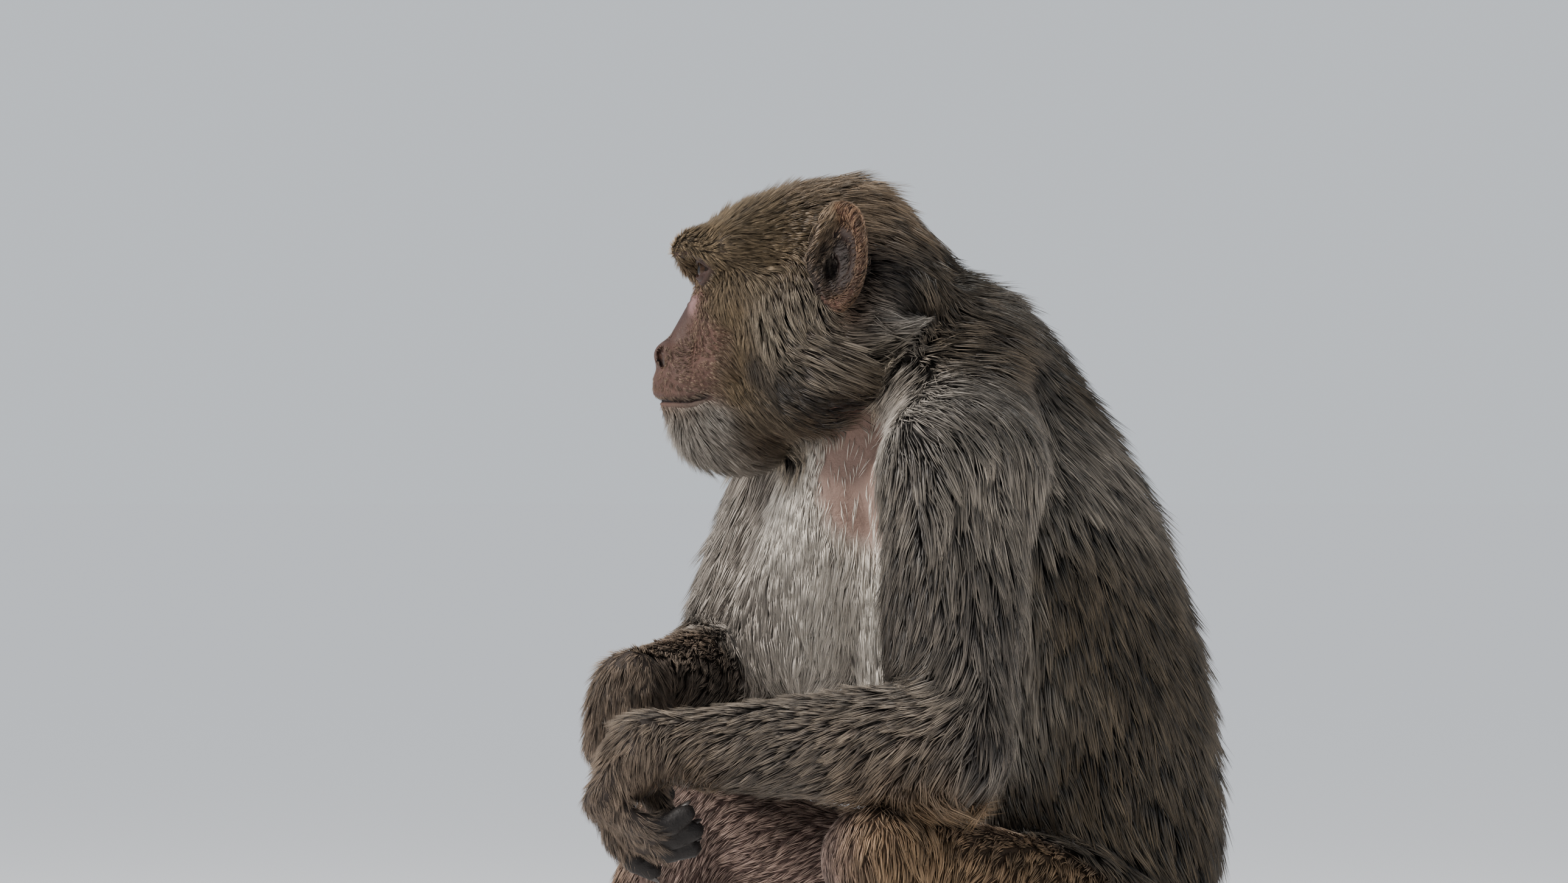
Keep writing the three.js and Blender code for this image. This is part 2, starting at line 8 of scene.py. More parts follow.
import bmesh
import bpy
import numpy as np
from mathutils import Matrix, Vector, kdtree


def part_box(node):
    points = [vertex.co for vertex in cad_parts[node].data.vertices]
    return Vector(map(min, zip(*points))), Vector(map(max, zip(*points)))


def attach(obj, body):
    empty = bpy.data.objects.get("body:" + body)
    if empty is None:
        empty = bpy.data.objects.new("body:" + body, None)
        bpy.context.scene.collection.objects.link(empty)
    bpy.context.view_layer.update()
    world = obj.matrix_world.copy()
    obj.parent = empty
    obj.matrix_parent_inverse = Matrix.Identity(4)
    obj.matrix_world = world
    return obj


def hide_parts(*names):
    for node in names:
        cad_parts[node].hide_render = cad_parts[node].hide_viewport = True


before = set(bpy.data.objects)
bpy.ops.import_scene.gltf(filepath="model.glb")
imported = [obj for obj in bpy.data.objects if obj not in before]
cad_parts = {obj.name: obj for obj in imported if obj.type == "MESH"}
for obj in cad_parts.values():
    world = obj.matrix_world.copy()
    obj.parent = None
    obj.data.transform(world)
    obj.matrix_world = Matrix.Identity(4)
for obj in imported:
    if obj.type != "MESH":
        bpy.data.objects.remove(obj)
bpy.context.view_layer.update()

# ---------- the hide ----------
# One skin over the whole animal, cast in one piece and painted: it lies inside the coat by the
# coat's depth, and comes bare on the face, ears, palms, soles and sitting pads. Each body of flesh
# is a form that gives the distance to its surface, and the forms melt into one another.
MM = 0.001


def mm(*values):
    return np.array(values, float) * MM


def unit(v):
    return v / np.maximum(np.linalg.norm(v, axis=-1, keepdims=True), 1e-12)


def norms(vectors):
    return np.linalg.norm(vectors, axis=1)


def smooth(low, high, value):
    """0 at low, 1 at high, and an even S between; high may be the lesser."""
    t = np.clip((value - low) / (high - low), 0, 1)
    return t * t * (3 - 2 * t)


def fade(low, high, value):
    """The same, with low and high in millimetres."""
    return smooth(low * MM, high * MM, value)


HEAD_TURN = math.radians(42)  # to the animal's right, from the trunk's heading
HEAD_PIVOT = mm(0, -25, 430)
turn_cos, turn_sin = math.cos(HEAD_TURN), math.sin(HEAD_TURN)
HEAD_AXES = np.array([[turn_cos, -turn_sin, 0], [turn_sin, turn_cos, 0], [0, 0, 1]])  # left, back, up


def to_head(p):
    return (p - HEAD_PIVOT) @ HEAD_AXES.T


def from_head(p):
    return p @ HEAD_AXES + HEAD_PIVOT


class Form:
    """A rounded body of flesh, or with `dent` a hollow in it, and how softly it joins the rest."""

    def __init__(self, centre, reach, distance, join=7, dent=False):
        self.centre = centre
        self.reach = reach
        self.distance = distance
        self.join = join * MM
        self.dent = dent

    def shape(self, value, points):
        """The distances to what is there so far, with this form melted into it or pressed in."""
        sign = -1 if self.dent else 1
        there, this = sign * value, self.distance(points)
        near = np.maximum(self.join - np.abs(there - this), 0) / self.join
        return sign * (np.minimum(there, this) - near * near * self.join / 4)


def oval(centre, radii, coat=0, in_head=False, **joining):
    """An ellipsoid of flesh, less the coat's depth."""
    centre, radii = mm(*centre), mm(*radii) - coat * MM

    def distance(p):
        q = (to_head(p) if in_head else p) - centre
        scaled = q / radii
        k = norms(scaled)
        return k * (k - 1) / np.maximum(norms(scaled / radii), 1e-9)

    place = from_head(centre) if in_head else centre
    return Form(place, radii.max(), distance, **joining)


def bone(a, b, first, last, coat=0, swell=0, in_head=False, **joining):
    """Flesh round a bone from a to b, its radius going from first to last and swelling between."""
    a, b = mm(*a), mm(*b)
    a, b = (from_head(a), from_head(b)) if in_head else (a, b)
    axis = b - a

    def distance(p):
        q = p - a
        t = np.clip(q @ axis / (axis @ axis), 0, 1)
        radius = (first + (last - first) * t + swell * np.sin(np.pi * t) - coat) * MM
        return norms(q - t[:, None] * axis) - radius

    reach = np.linalg.norm(axis) / 2 + (max(first, last) + swell) * MM
    return Form((a + b) / 2, reach, distance, **joining)


# The trunk's level sections: height, how far back the middle is, half width and half depth.
TRUNK_SECTIONS = mm(
    [5, 68, 42, 40], [18, 70, 68, 64], [50, 74, 84, 76], [110, 77, 91, 83], [160, 75, 99, 91],
    [226, 57, 104, 100], [290, 41, 100, 96], [339, 30, 92, 82], [387, 16, 72, 66],
    [412, 0, 62, 57], [436, -20, 48, 44],
)
TRUNK_COAT = mm(6, 8, 10, 12, 13, 13, 13, 13, 14, 14, 14)  # the coat's depth at each of them


def spline(rows, steps=12):
    """A smooth curve through the rows, as finer rows."""
    padded = np.vstack([2 * rows[0] - rows[1], rows, 2 * rows[-1] - rows[-2]])
    fine = []
    for i in range(1, len(rows)):
        p0, p1, p2, p3 = padded[i - 1 : i + 3]
        for t in np.arange(steps) / steps:
            fine.append(
                p1 + t * (p2 - p0) / 2 + t * t * (p0 - 2.5 * p1 + 2 * p2 - p3 / 2)
                + t**3 * (1.5 * p1 - p0 / 2 - 1.5 * p2 + p3 / 2)
            )
    return np.array(fine + [rows[-1]])


def trunk_form():
    """The trunk, an upright stack of ovals that runs smoothly through its sections."""
    sections = TRUNK_SECTIONS.copy()
    sections[:, 2:] -= TRUNK_COAT[:, None]
    heights, back, wide, deep = spline(sections).T

    def distance(p):
        x, y = p[:, 0], p[:, 1] - np.interp(p[:, 2], heights, back)
        w, d = np.interp(p[:, 2], heights, wide), np.interp(p[:, 2], heights, deep)
        k = np.maximum(np.hypot(x / w, y / d), 1e-6)
        side = k * (k - 1) / np.maximum(np.hypot(x / w**2, y / d**2), 1e-6)
        return np.maximum(side, np.maximum(heights[0] - p[:, 2], p[:, 2] - heights[-1]))

    return Form(mm(0, 40, 220), 0.26, distance, join=16)


def face_forms():
    """The head in its own axes: skull, brow, muzzle, jaw and nose, with hollows for the eyes."""
    forms = [
        oval((0, -44, 24), (42, 57, 44), in_head=True, join=10),
        oval((0, -2, 8), (43, 24, 24), in_head=True, join=14),  # the back of the skull
        oval((0, -83, 35), (38, 25, 19.5), in_head=True, join=12),  # the forehead
        oval((0, -84, -4), (27, 28, 26), in_head=True, join=8),  # the middle of the face
        bone((-14, -108, 30.5), (14, -108, 30.5), 12.3, 12.3, in_head=True),  # the brow
        bone((0, -96, 16), (0, -116, -21), 12, 13, in_head=True),  # the bridge of the nose
        oval((0, -98, -36), (27.3, 36.3, 23.2), in_head=True),  # the muzzle
        oval((0, -92, -56), (23, 32, 26), in_head=True),  # the chin
        oval((0, -126, -21), (10, 7.7, 6.7), in_head=True, join=5),  # the tip of the nose
    ]
    for s in (-1, 1):
        forms += [
            bone((s * 14, -110, 34), (s * 33, -88, 36), 10, 8, in_head=True),  # the brow's end
            bone((s * 13, -95, 2), (s * 17, -92, -26), 13, 18, in_head=True),  # the upper jaw
            bone((s * 10, -92, -50), (s * 34, -40, -34), 15, 20, in_head=True),  # the lower jaw
            oval((s * 29, -46, -11), (22, 37, 37), in_head=True, join=10),  # the cheek
            oval((s * 25, -73, 10), (17, 23, 18), in_head=True),  # the cheekbone
            oval((s * 8.5, -124, -22), (5.5, 8, 6.5), in_head=True, join=3),  # the nose's wings
            oval((s * 23, -113, 22.5), (18, 14, 8), in_head=True, join=4, dent=True),
        ]
    return forms


# ---------- ears ----------
# Thin cupped shells of gristle with a rolled rim, an inner fold and a deep hollow. They are part of
# the hide, each leant out from the side of the head on a thick root.
EAR = {
    "half": mm(16, 27), "cup": 8 * MM, "wall": 1.7 * MM,
    "lean": math.radians(20), "tilt": math.radians(-10),
}
EAR_ROOT = mm(54, -27, 28)


def ear_axes():
    """Rows: back along the ear, up it and out from the head, for the left ear."""
    lean = Matrix.Rotation(-EAR["lean"], 3, "Y")
    tilt = Matrix.Rotation(EAR["tilt"], 3, "X")
    local = np.array(tilt @ lean).T
    basis = np.array([[0, 1, 0], [0, 0, 1], [1, 0, 0]], float)
    return local @ basis


def on_ear(p, s):
    """Points as places on an ear: back, up and out, in metres."""
    q = to_head(p) * np.array([s, 1, 1]) - EAR_ROOT
    return q @ ear_axes().T


def ear_share(u, v):
    """How far out over the ear places are, 1 at its rim."""
    return np.hypot(u / EAR["half"][0], v / EAR["half"][1])


def off_cup(share, w):
    """How far places are from the cupped shell's middle, outwards."""
    return w - EAR["cup"] * np.minimum(share, 1.2) ** 3


def ear_forms(s):
    def distance(p):
        u, v, w = on_ear(p, s).T
        tip = 1 + 0.14 * np.maximum(v / EAR["half"][1], 0) * u / EAR["half"][0]
        k = np.hypot(u / (EAR["half"][0] * tip), v / (EAR["half"][1] * tip))
        body = np.maximum(np.abs(off_cup(k, w)) - EAR["wall"], (k - 0.97) * 16 * MM)
        rolled = np.hypot((k - 0.93) * 17 * MM, w - 7.0 * MM) - 2.3 * MM
        below, before = smooth(-0.1, -0.5, v / EAR["half"][1]), smooth(0.2, -0.4, u / EAR["half"][0])
        rolled += 3 * MM * below * before
        fold = np.hypot((k - 0.56) * 15 * MM, w - 3.2 * MM) - 2.0 * MM
        fold += 4 * MM * smooth(0.1, -0.3, u / EAR["half"][0])
        root = norms(np.stack([u + 3 * MM, (v + 2 * MM) / 1.7, w + 8 * MM], 1)) - 9 * MM
        flap = norms(np.stack([u + 11 * MM, (v + 7 * MM) / 1.6, w - 3 * MM], 1)) - 3.6 * MM
        for other in (rolled, fold, root, flap):
            near = np.maximum(2.5 * MM - np.abs(body - other), 0) / (2.5 * MM)
            body = np.minimum(body, other) - near * near * 2.5 * MM / 4
        return body

    def hollow(p):
        u, v, w = on_ear(p, s).T
        q = np.stack([(u + 5 * MM) / 0.6, (v + 4 * MM) / 1.1, w - 3.5 * MM], 1)
        return norms(q) - 6.5 * MM

    centre = from_head(EAR_ROOT * np.array([s, 1, 1]))
    return [Form(centre, 0.034, distance, join=4), Form(centre, 0.02, hollow, join=1.5, dent=True)]


# ---------- limbs, tail and pads ----------
# Flesh round the bones, cast into the hide: both forearms lie forward over the knees with the hands
# hanging, the feet stand flat, and the tail curls back along the floor. Joints are in millimetres.
SIDES = {"left": 1, "right": -1}
LIMBS = {
    "left": {
        "arm": [(80, -50, 345), (103, -72, 206), (14, -203, 204)], "reach": 20, "drop": 27,
        "leg": [(50, 62, 86), (80, -100, 146), (76, -14, 29)], "toes": math.radians(8),
    },
    "right": {
        "arm": [(-92, -24, 338), (-122, -57, 233), (-38, -175, 235)], "reach": 6, "drop": 33,
        "leg": [(-50, 62, 86), (-116, -82, 160), (-112, -150, 29)], "toes": math.radians(20),
    },
}
DIGIT_COAT = 0.7
SOLE_LENGTH = 104
TOE_LENGTHS = {1: 38, 2: 48, 3: 52, 4: 49, 5: 42}
# Each finger's bones, from the thumb on: their lengths, and their angles from hanging straight.
BONES = {1: [14, 12, 7], 2: [22, 15, 10], 3: [27, 18, 12], 4: [26, 17, 11], 5: [23, 15, 10]}
CURL = {1: [20, 40, 60], 2: [18, 40, 64], 3: [40, 70, 100], 4: [50, 80, 112], 5: [58, 90, 126]}
TAIL_LINE = [
    (0, 140, 66), (-4, 176, 42), (-22, 208, 18), (-58, 222, 12), (-98, 214, 11), (-132, 192, 10),
]


def digit(joints, radius, thin):
    """The bones of a finger or toe, each a little thinner than the last, less the short hair."""
    steps = len(joints) - 1
    forms = []
    for i in range(steps):
        first, last = ((radius - DIGIT_COAT) * (1 - thin * t / steps) for t in (i, i + 1))
        forms.append(bone(joints[i], joints[i + 1], first, last, join=1.6))
    return forms


def leg_forms(side):
    """A leg's flesh by group, and each toe's last two joints and the way its nail faces."""
    s, limb = SIDES[side], LIMBS[side]
    hip, knee, ankle = (np.array(p, float) for p in limb["leg"])
    forward = np.array([s * math.sin(limb["toes"]), -math.cos(limb["toes"]), 0])
    beside = np.array([s * math.cos(limb["toes"]), math.sin(limb["toes"]), 0])

    def on_foot(along, out, up):
        return np.array([ankle[0], ankle[1], up]) + forward * along + beside * out

    heel, instep, roots = on_foot(-20, 0, 14), on_foot(26, 0, 15), SOLE_LENGTH - 36
    foot = [
        bone(heel, instep, 16, 16, coat=1.5, join=9),
        bone(ankle, instep, 17, 15, coat=2, join=9),
        bone(instep, on_foot(roots, -9, 10), 15, 12, coat=1, join=9),
        bone(instep, on_foot(roots, 9, 10), 15, 12, coat=1, join=9),
    ]
    tips = []
    for toe in range(1, 6):
        big = toe == 1
        out, root = (-14, 14) if big else ((toe - 3.5) * 10.2, roots)
        way = unit(forward + beside * (-0.6 if big else (toe - 3.5) * 0.08))
        joints = [
            on_foot(root, out, up) + way * TOE_LENGTHS[toe] * share
            for share, up in ((0, 10), (0.38, 13), (0.72, 9.5), (1, 5.6))
        ]
        foot += digit(joints, 8 if big else 7, 0.22)
        tips.append((joints[-2], joints[-1], np.array([0.0, 0, 1])))
    flesh = {
        f"thigh_{side}": [bone(hip, knee, 60, 35, coat=10, swell=5, join=14)],
        f"shin_{side}": [bone(knee, ankle, 35, 19, coat=8, swell=4, join=8)],
        f"foot_{side}": foot,
    }
    return flesh, tips


def arm_forms(side):
    """An arm's flesh by group, and each finger's last two joints and the way its nail faces."""
    limb = LIMBS[side]
    shoulder, elbow, wrist = (np.array(p, float) for p in limb["arm"])
    heading = unit((wrist - elbow) * np.array([1, 1, 0]))
    across = np.array([heading[1], -heading[0], 0]) * SIDES[side]  # towards the thumb
    reach, drop = limb["reach"], limb["drop"]

    def on_hand(back, down, out):
        return wrist - heading * back + across * out - np.array([0, 0, down])

    hand = [
        bone(wrist, on_hand(-6, 8, 0), 19.5, 16, coat=1.5, join=7),
        bone(on_hand(-6, 8, 7), on_hand(-reach, drop, 13), 14, 11, coat=1, join=7),
        bone(on_hand(-6, 8, -7), on_hand(-reach, drop, -13), 14, 11, coat=1, join=7),
    ]
    tips = []
    for finger in range(1, 6):
        thumb = finger == 1
        back, down, out = (2, 14, 18) if thumb else (-reach, drop, 14 - (finger - 2) * 9.3)
        joints = [on_hand(back, down, out)]
        for length, curl in zip(BONES[finger], CURL[finger]):
            back += length * math.sin(math.radians(curl))
            down += length * math.cos(math.radians(curl))
            out += 1.5 if thumb else 0
            joints.append(on_hand(back, down, out))
        hand += digit(joints, 6.6 if thumb else 7, 0.15)
        last = unit(joints[-1] - joints[-2])
        nail_side = heading - last * (heading @ last)
        tips.append((joints[-2], joints[-1], unit(nail_side)))
    flesh = {
        f"upper_arm_{side}": [bone(shoulder, elbow, 46, 37, coat=12, swell=1, join=16)],
        f"forearm_{side}": [bone(elbow, wrist, 37, 22, coat=8, swell=2, join=8)],
        f"hand_{side}": hand,
    }
    return flesh, tips


def tail_forms():
    """The tail, thinning along its line."""
    line = spline(np.array(TAIL_LINE, float), 3)
    count = len(line) - 1
    radii = [16 * (1 - 0.42 * i / count) for i in range(count + 1)]
    return [bone(line[i], line[i + 1], radii[i], radii[i + 1], coat=6, join=3) for i in range(count)]


flesh = {"trunk": [trunk_form()], "head": face_forms()}
tips = {}
for side in SIDES:
    limb, tips[f"foot_{side}"] = leg_forms(side)
    flesh.update(limb)
    limb, tips[f"hand_{side}"] = arm_forms(side)
    flesh.update(limb)
flesh["tail"] = tail_forms()
flesh["pads"] = [oval((s * 24, 70, 5), (17, 24, 9), join=4) for s in (-1, 1)]
flesh["neck"] = [
    bone((0, 8, 392), from_head(mm(0, -34, -14)) / MM, 50, 40, join=14),
    bone((-20, -12, 350), from_head(mm(0, -44, -38)) / MM, 36, 28, join=14),
    bone((-34, -34, 338), (-70, -44, 262), 36, 34, join=16),  # the breast runs on to the arms
    bone((34, -30, 338), (62, -40, 262), 34, 32, join=16),
    bone((28, -6, 390), (74, -40, 350), 34, 37, join=18),  # the neck runs on to the shoulders
    bone((-28, -6, 390), (-84, -18, 342), 34, 36, join=18),
]
flesh["ears"] = [form for s in (-1, 1) for form in ear_forms(s)]

# ---------- lids, nostrils and mouth ----------
# Each eye's opening is an almond between lids that wrap the eyeball, and the nostrils are hollowed
# out of the nose. Fine folds in the skin mark the mouth, the nose and the bags under the eyes.
EYE = {"centre": mm(17, -98, 24), "radius": 10 * MM, "lid": 2.0 * MM, "gaze": math.radians(22)}
EYE_OPENING = mm(9.5, 3.6)  # half its length and half its height


def on_eye(p, s):
    """Points as places at an eye: outward across it, up, and forward out of it."""
    q = to_head(p) * np.array([s, 1, 1]) - EYE["centre"]
    c, n = math.cos(EYE["gaze"]), math.sin(EYE["gaze"])
    return np.stack([q[:, 0] * c + q[:, 1] * n, q[:, 2], q[:, 0] * n - q[:, 1] * c], 1)


def lid_forms(s):
    """Lids, a shell round the eyeball, and the opening cut in them."""

    def shell(p):
        return norms(on_eye(p, s)) - EYE["radius"] - EYE["lid"]

    def opening(p):
        u, v, w = on_eye(p, s).T
        u = u + 0.0006 - 0.15 * v
        half = EYE_OPENING[1] * (1 - np.clip(np.abs(u) / EYE_OPENING[0], 0, 1) ** 2)
        sides = np.maximum((np.abs(v) - half) * 0.8, (np.abs(u) - EYE_OPENING[0]) * 0.8)
        return np.maximum(sides, 2 * MM - w)

    centre = from_head(EYE["centre"] * np.array([s, 1, 1]))
    reach = EYE["radius"] + 4 * MM
    return [Form(centre, reach, shell, join=2.5), Form(centre, reach, opening, join=1.4, dent=True)]


def nostril(s):
    """A slanting comma that opens to the side and front of the nose."""
    a, b = mm(s * 9, -129.5, -19.5), mm(s * 11.5, -127.5, -26.5)

    def distance(p):
        q = to_head(p) - a
        t = np.clip(q @ (b - a) / ((b - a) @ (b - a)), 0, 1)
        return norms((q - t[:, None] * (b - a)) / np.array([1.6, 1, 1])) - (3.1 - t) * MM

    return Form(from_head((a + b) / 2), 9 * MM, distance, join=1.2, dent=True)


flesh["eyes"] = [form for s in (-1, 1) for form in lid_forms(s) + [nostril(s)]]
MOUTH = {"height": -46 * MM, "corner": -101 * MM, "slope": 0.03}


def below_mouth(p):
    """How far above (+) or below (-) the line of the mouth points are."""
    _, y, z = to_head(p).T
    return z - MOUTH["height"] + MOUTH["slope"] * (y + 0.1) - 3 * MM * smooth(-0.115, -0.1, y)


def folds(p):
    """How far the skin is pushed in (+) or stands out (-) at the mouth, eyes and nose."""
    x, y, z = to_head(p).T
    face = fade(-70, -85, y) * smooth(0.075, 0.06, np.abs(x))
    line = below_mouth(p)
    mouth = smooth(MOUTH["corner"], MOUTH["corner"] - 6 * MM, y)
    push = 2.2 * MM * np.exp(-((line / (1.15 * MM)) ** 2)) * mouth
    push -= 0.9 * MM * np.exp(-(((np.abs(line) - 3.2 * MM) / (2 * MM)) ** 2)) * mouth
    for s in (-1, 1):
        u, v, w = on_eye(p, s).T
        ring = np.hypot(u, v * 1.25)
        around = fade(-2, 3, w) * fade(24, 15, ring)
        below = fade(2, -6, v)
        push += around * below * 0.45 * MM * np.sin((ring - 11 * MM) * 2 * math.pi / (3.6 * MM))
        push += around * (1 - below) * 0.5 * MM * np.exp(-(((ring - 13.5 * MM) / (1 * MM)) ** 2))
        crease = np.abs(y + 112 * MM + 0.35 * (z + 10 * MM) + 0.9 * (np.abs(x) - 16 * MM))
        furrow = 0.7 * MM * np.exp(-((crease / (2.5 * MM)) ** 2))
        push += furrow * fade(-34, -26, z) * fade(6, 0, z) / 2
    frown = fade(11, 5, np.abs(x)) * fade(2, 8, z) * fade(24, 18, z)
    push += 0.4 * MM * np.sin(z * 2 * math.pi / (3.4 * MM) + 40 * x) * frown
    return push * face


# ---------- casting the hide ----------
# The distance to the skin, worked out on a grid that is finer round the head, gives a net of small
# faces. The net is drawn smooth, then cut finer at the hands, feet, ears and face.
FAR = 0.05  # a distance that stands for any place well off the skin
REACH = 9 * MM  # how far from a form its join with the others is still worked out
BLOCK = 0.02  # the side of the blocks that points are sorted into
FACE_CENTRE, FACE_REACH = from_head(mm(0, -95, -5)), 0.075  # where the skin has folds


def forms_near(points):
    """The forms that shape the skin near some of the points, each with those points."""
    corner = np.floor(points / BLOCK).astype(int)
    _, first, block = np.unique(corner, axis=0, return_index=True, return_inverse=True)
    block = block.ravel()
    middles = (corner[first] + 0.5) * BLOCK
    found = []
    for forms in flesh.values():
        for form in forms:
            span = form.reach + form.join + REACH + BLOCK / 2
            close = np.abs(middles - form.centre).max(axis=1) < span
            if close.any():
                found.append((form, np.flatnonzero(close[block])))
    return found


def hide(points, near):
    """The signed distance to the skin, from the forms near the points."""
    value = np.full(len(points), FAR)
    for form, which in near:
        value[which] = form.shape(value[which], points[which])
    head = np.flatnonzero(np.abs(points - FACE_CENTRE).max(axis=1) < FACE_REACH)
    value[head] += folds(points[head])
    return np.maximum(value, -points[:, 2])


def steepest(points, near, step):
    """The slope of the distance at points, and the distance itself."""
    here = hide(points, near)
    slope = np.stack([hide(points + step * axis, near) - here for axis in np.eye(3)], 1) / step
    return slope, here


def moved_on(points, near, step, least, most):
    """The points after one move along the slope towards the skin, and the slope."""
    slope, here = steepest(points, near, step)
    move = np.clip(-here / np.maximum((slope**2).sum(1), least), -most, most)
    return points + move[:, None] * slope, slope


def settle(points):
    """Points moved on to the skin that they are close to."""
    return moved_on(points, forms_near(points), step=0.4 * MM, least=0.2, most=2 * MM)[0]


CELL = {"body": 6.8 * MM, "head": 2.7 * MM}
# Along each axis: the grid's low and high ends, and those of its finer stretch round the head.
GRID_SPANS = [(-190, 155, -114, 50), (-288, 250, -142, 24), (-6, 514, 344, 514)]


def grid_lines(low, high, fine_low, fine_high):
    coarse, fine = CELL["body"], CELL["head"]
    parts = (low, fine_low, coarse), (fine_low, fine_high, fine), (fine_high, high, coarse)
    return np.concatenate([np.arange(*part) for part in parts])


def cast_hide():
    """The skin's net: one corner to each grid cell that the surface passes, one face to each edge."""
    lines = [grid_lines(*mm(*span)) for span in GRID_SPANS]
    values = np.full([len(line) for line in lines], FAR)

    def within(centre, reach):
        ends = [np.searchsorted(line, (c - reach, c + reach)) for line, c in zip(lines, centre)]
        return tuple(slice(*pair) for pair in ends)

    for forms in flesh.values():
        for form in forms:
            block = within(form.centre, form.reach + form.join + REACH)
            axes = [line[cut] for line, cut in zip(lines, block)]
            points = np.stack(np.meshgrid(*axes, indexing="ij"), -1).reshape(-1, 3)
            shape = values[block].shape
            values[block] = form.shape(values[block].ravel(), points).reshape(shape)
    values = np.maximum(values, -lines[2][None, None, :])

    inside = values < 0
    corners = [(i, j, k) for i in (0, 1) for j in (0, 1) for k in (0, 1)]
    count = sum(inside[tuple(slice(n, n - 1 or None) for n in a)].astype(int) for a in corners)
    cells = np.argwhere((count > 0) & (count < 8))
    number = np.full(count.shape, -1)
    number[tuple(cells.T)] = np.arange(len(cells))

    total, hits = np.zeros((len(cells), 3)), np.zeros(len(cells))
    for a in corners:
        for axis in range(3):
            if a[axis]:
                continue
            p = cells + a
            q = p + np.eye(3, dtype=int)[axis]
            u, v = values[tuple(p.T)], values[tuple(q.T)]
            cross = np.flatnonzero((u < 0) != (v < 0))
            start = np.stack([lines[n][p[cross, n]] for n in range(3)], 1)
            end = np.stack([lines[n][q[cross, n]] for n in range(3)], 1)
            t = (u / (u - v + 1e-30))[cross][:, None]
            total[cross] += start + t * (end - start)
            hits[cross] += 1
    verts = total / hits[:, None]

    faces = []
    for axis in range(3):
        b, c = (axis + 1) % 3, (axis + 2) % 3
        first = np.take(inside, range(inside.shape[axis] - 1), axis)
        second = np.take(inside, range(1, inside.shape[axis]), axis)
        at = np.argwhere(first != second)
        at = at[(at[:, b] > 0) & (at[:, c] > 0)]
        outward = first[tuple(at.T)]
        around = []
        for s, t in ((0, 0), (1, 0), (1, 1), (0, 1)):
            cell = at.copy()
            cell[:, b] -= s
            cell[:, c] -= t
            around.append(number[tuple(cell.T)])
        quads = np.stack(around, 1)
        quads[~outward] = quads[~outward, ::-1]
        faces.append(quads)
    return verts, np.concatenate(faces)


def mesh_of(name, verts, faces):
    mesh = bpy.data.meshes.new(name)
    mesh.from_pydata(verts.tolist(), [], faces.tolist() if isinstance(faces, np.ndarray) else faces)
    return mesh


def put(name, data):
    """An object of the data, in the scene."""
    thing = bpy.data.objects.new(name, data)
    bpy.context.scene.collection.objects.link(thing)
    return thing


pads = [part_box(f"sitting_pad_{side}") for side in SIDES]
UNDER_CHEST = sum(np.array(low) + high for low, high in pads) / 4 * np.array([1, 1, 0]) - mm(0, 70, 0)


def piece(name, mesh):
    """An object in the frame: the sizes here are measured from the floor straight under the chest."""
    mesh.transform(Matrix.Translation(UNDER_CHEST))
    return put(name, mesh)


def read(items, key, width=3, kind=float):
    """One property of all of a mesh's items, a row to each."""
    flat = np.empty(len(items) * width, kind)
    items.foreach_get(key, flat)
    return flat.reshape(-1, width)


def relax(shape, passes, moving=None):
    """The net's corners drawn towards the middle of their neighbours, and put back on the skin."""
    mesh = bpy.data.meshes.new("relaxing")
    shape.to_mesh(mesh)
    a, b = read(mesh.edges, "vertices", 2, int).T
    points = read(mesh.vertices, "co")
    moved = np.flatnonzero(moving(points)) if moving else np.arange(len(points))
    ends, others = np.concatenate([a, b]), np.concatenate([b, a])
    count = np.maximum(np.bincount(ends, minlength=len(points)), 1)
    for _ in range(passes):
        total = np.stack([np.bincount(ends, points[others, i], len(points)) for i in range(3)], 1)
        middle = total / count[:, None]
        points[moved] = settle((points[moved] + middle[moved]) / 2)
    points[moved] = settle(points[moved])
    bpy.data.meshes.remove(mesh)
    for vertex, point in zip(shape.verts, points):
        vertex.co = point


def refine(shape, chosen):
    """Each edge for which chosen(points) is true at both ends is cut in two."""
    shape.verts.index_update()
    points = np.array([v.co for v in shape.verts])
    inside = chosen(points)
    edges = [e for e in shape.edges if inside[e.verts[0].index] and inside[e.verts[1].index]]
    bmesh.ops.subdivide_edges(shape, edges=edges, cuts=1, use_grid_fill=True)


def bare_face(points):
    x, y, z = to_head(points).T
    return (y < -84 * MM) & (np.abs(x) < 45 * MM) & (z < 50 * MM) & (z > -75 * MM)


def hands_and_feet(points):
    chosen = points[:, 2] < 30 * MM
    for side in SIDES:
        for form in flesh[f"hand_{side}"]:
            chosen |= norms(points - form.centre) < form.reach + 3 * MM
    return chosen & (np.abs(points[:, 1] - 70 * MM) > 90 * MM)


def on_the_ears(points):
    shares = [on_ear(points, s) / np.array([19, 30, 13]) / MM for s in (-1, 1)]
    return np.min([norms(share) for share in shares], axis=0) < 1


def by_the_eyes(points):
    near = [norms(on_eye(points, s) - mm(0, 0, 7)) < 13 * MM for s in (-1, 1)]
    x, y, z = to_head(points).T
    nose = (y < -118 * MM) & (z < -12 * MM) & (z > -34 * MM)
    lips = (y < -98 * MM) & (np.abs(z - MOUTH["height"]) < 5 * MM)
    return near[0] | near[1] | nose | lips


def on_the_lids(points):
    near = [norms(on_eye(points, s) - mm(0, 0, 10)) < 8 * MM for s in (-1, 1)]
    return near[0] | near[1]


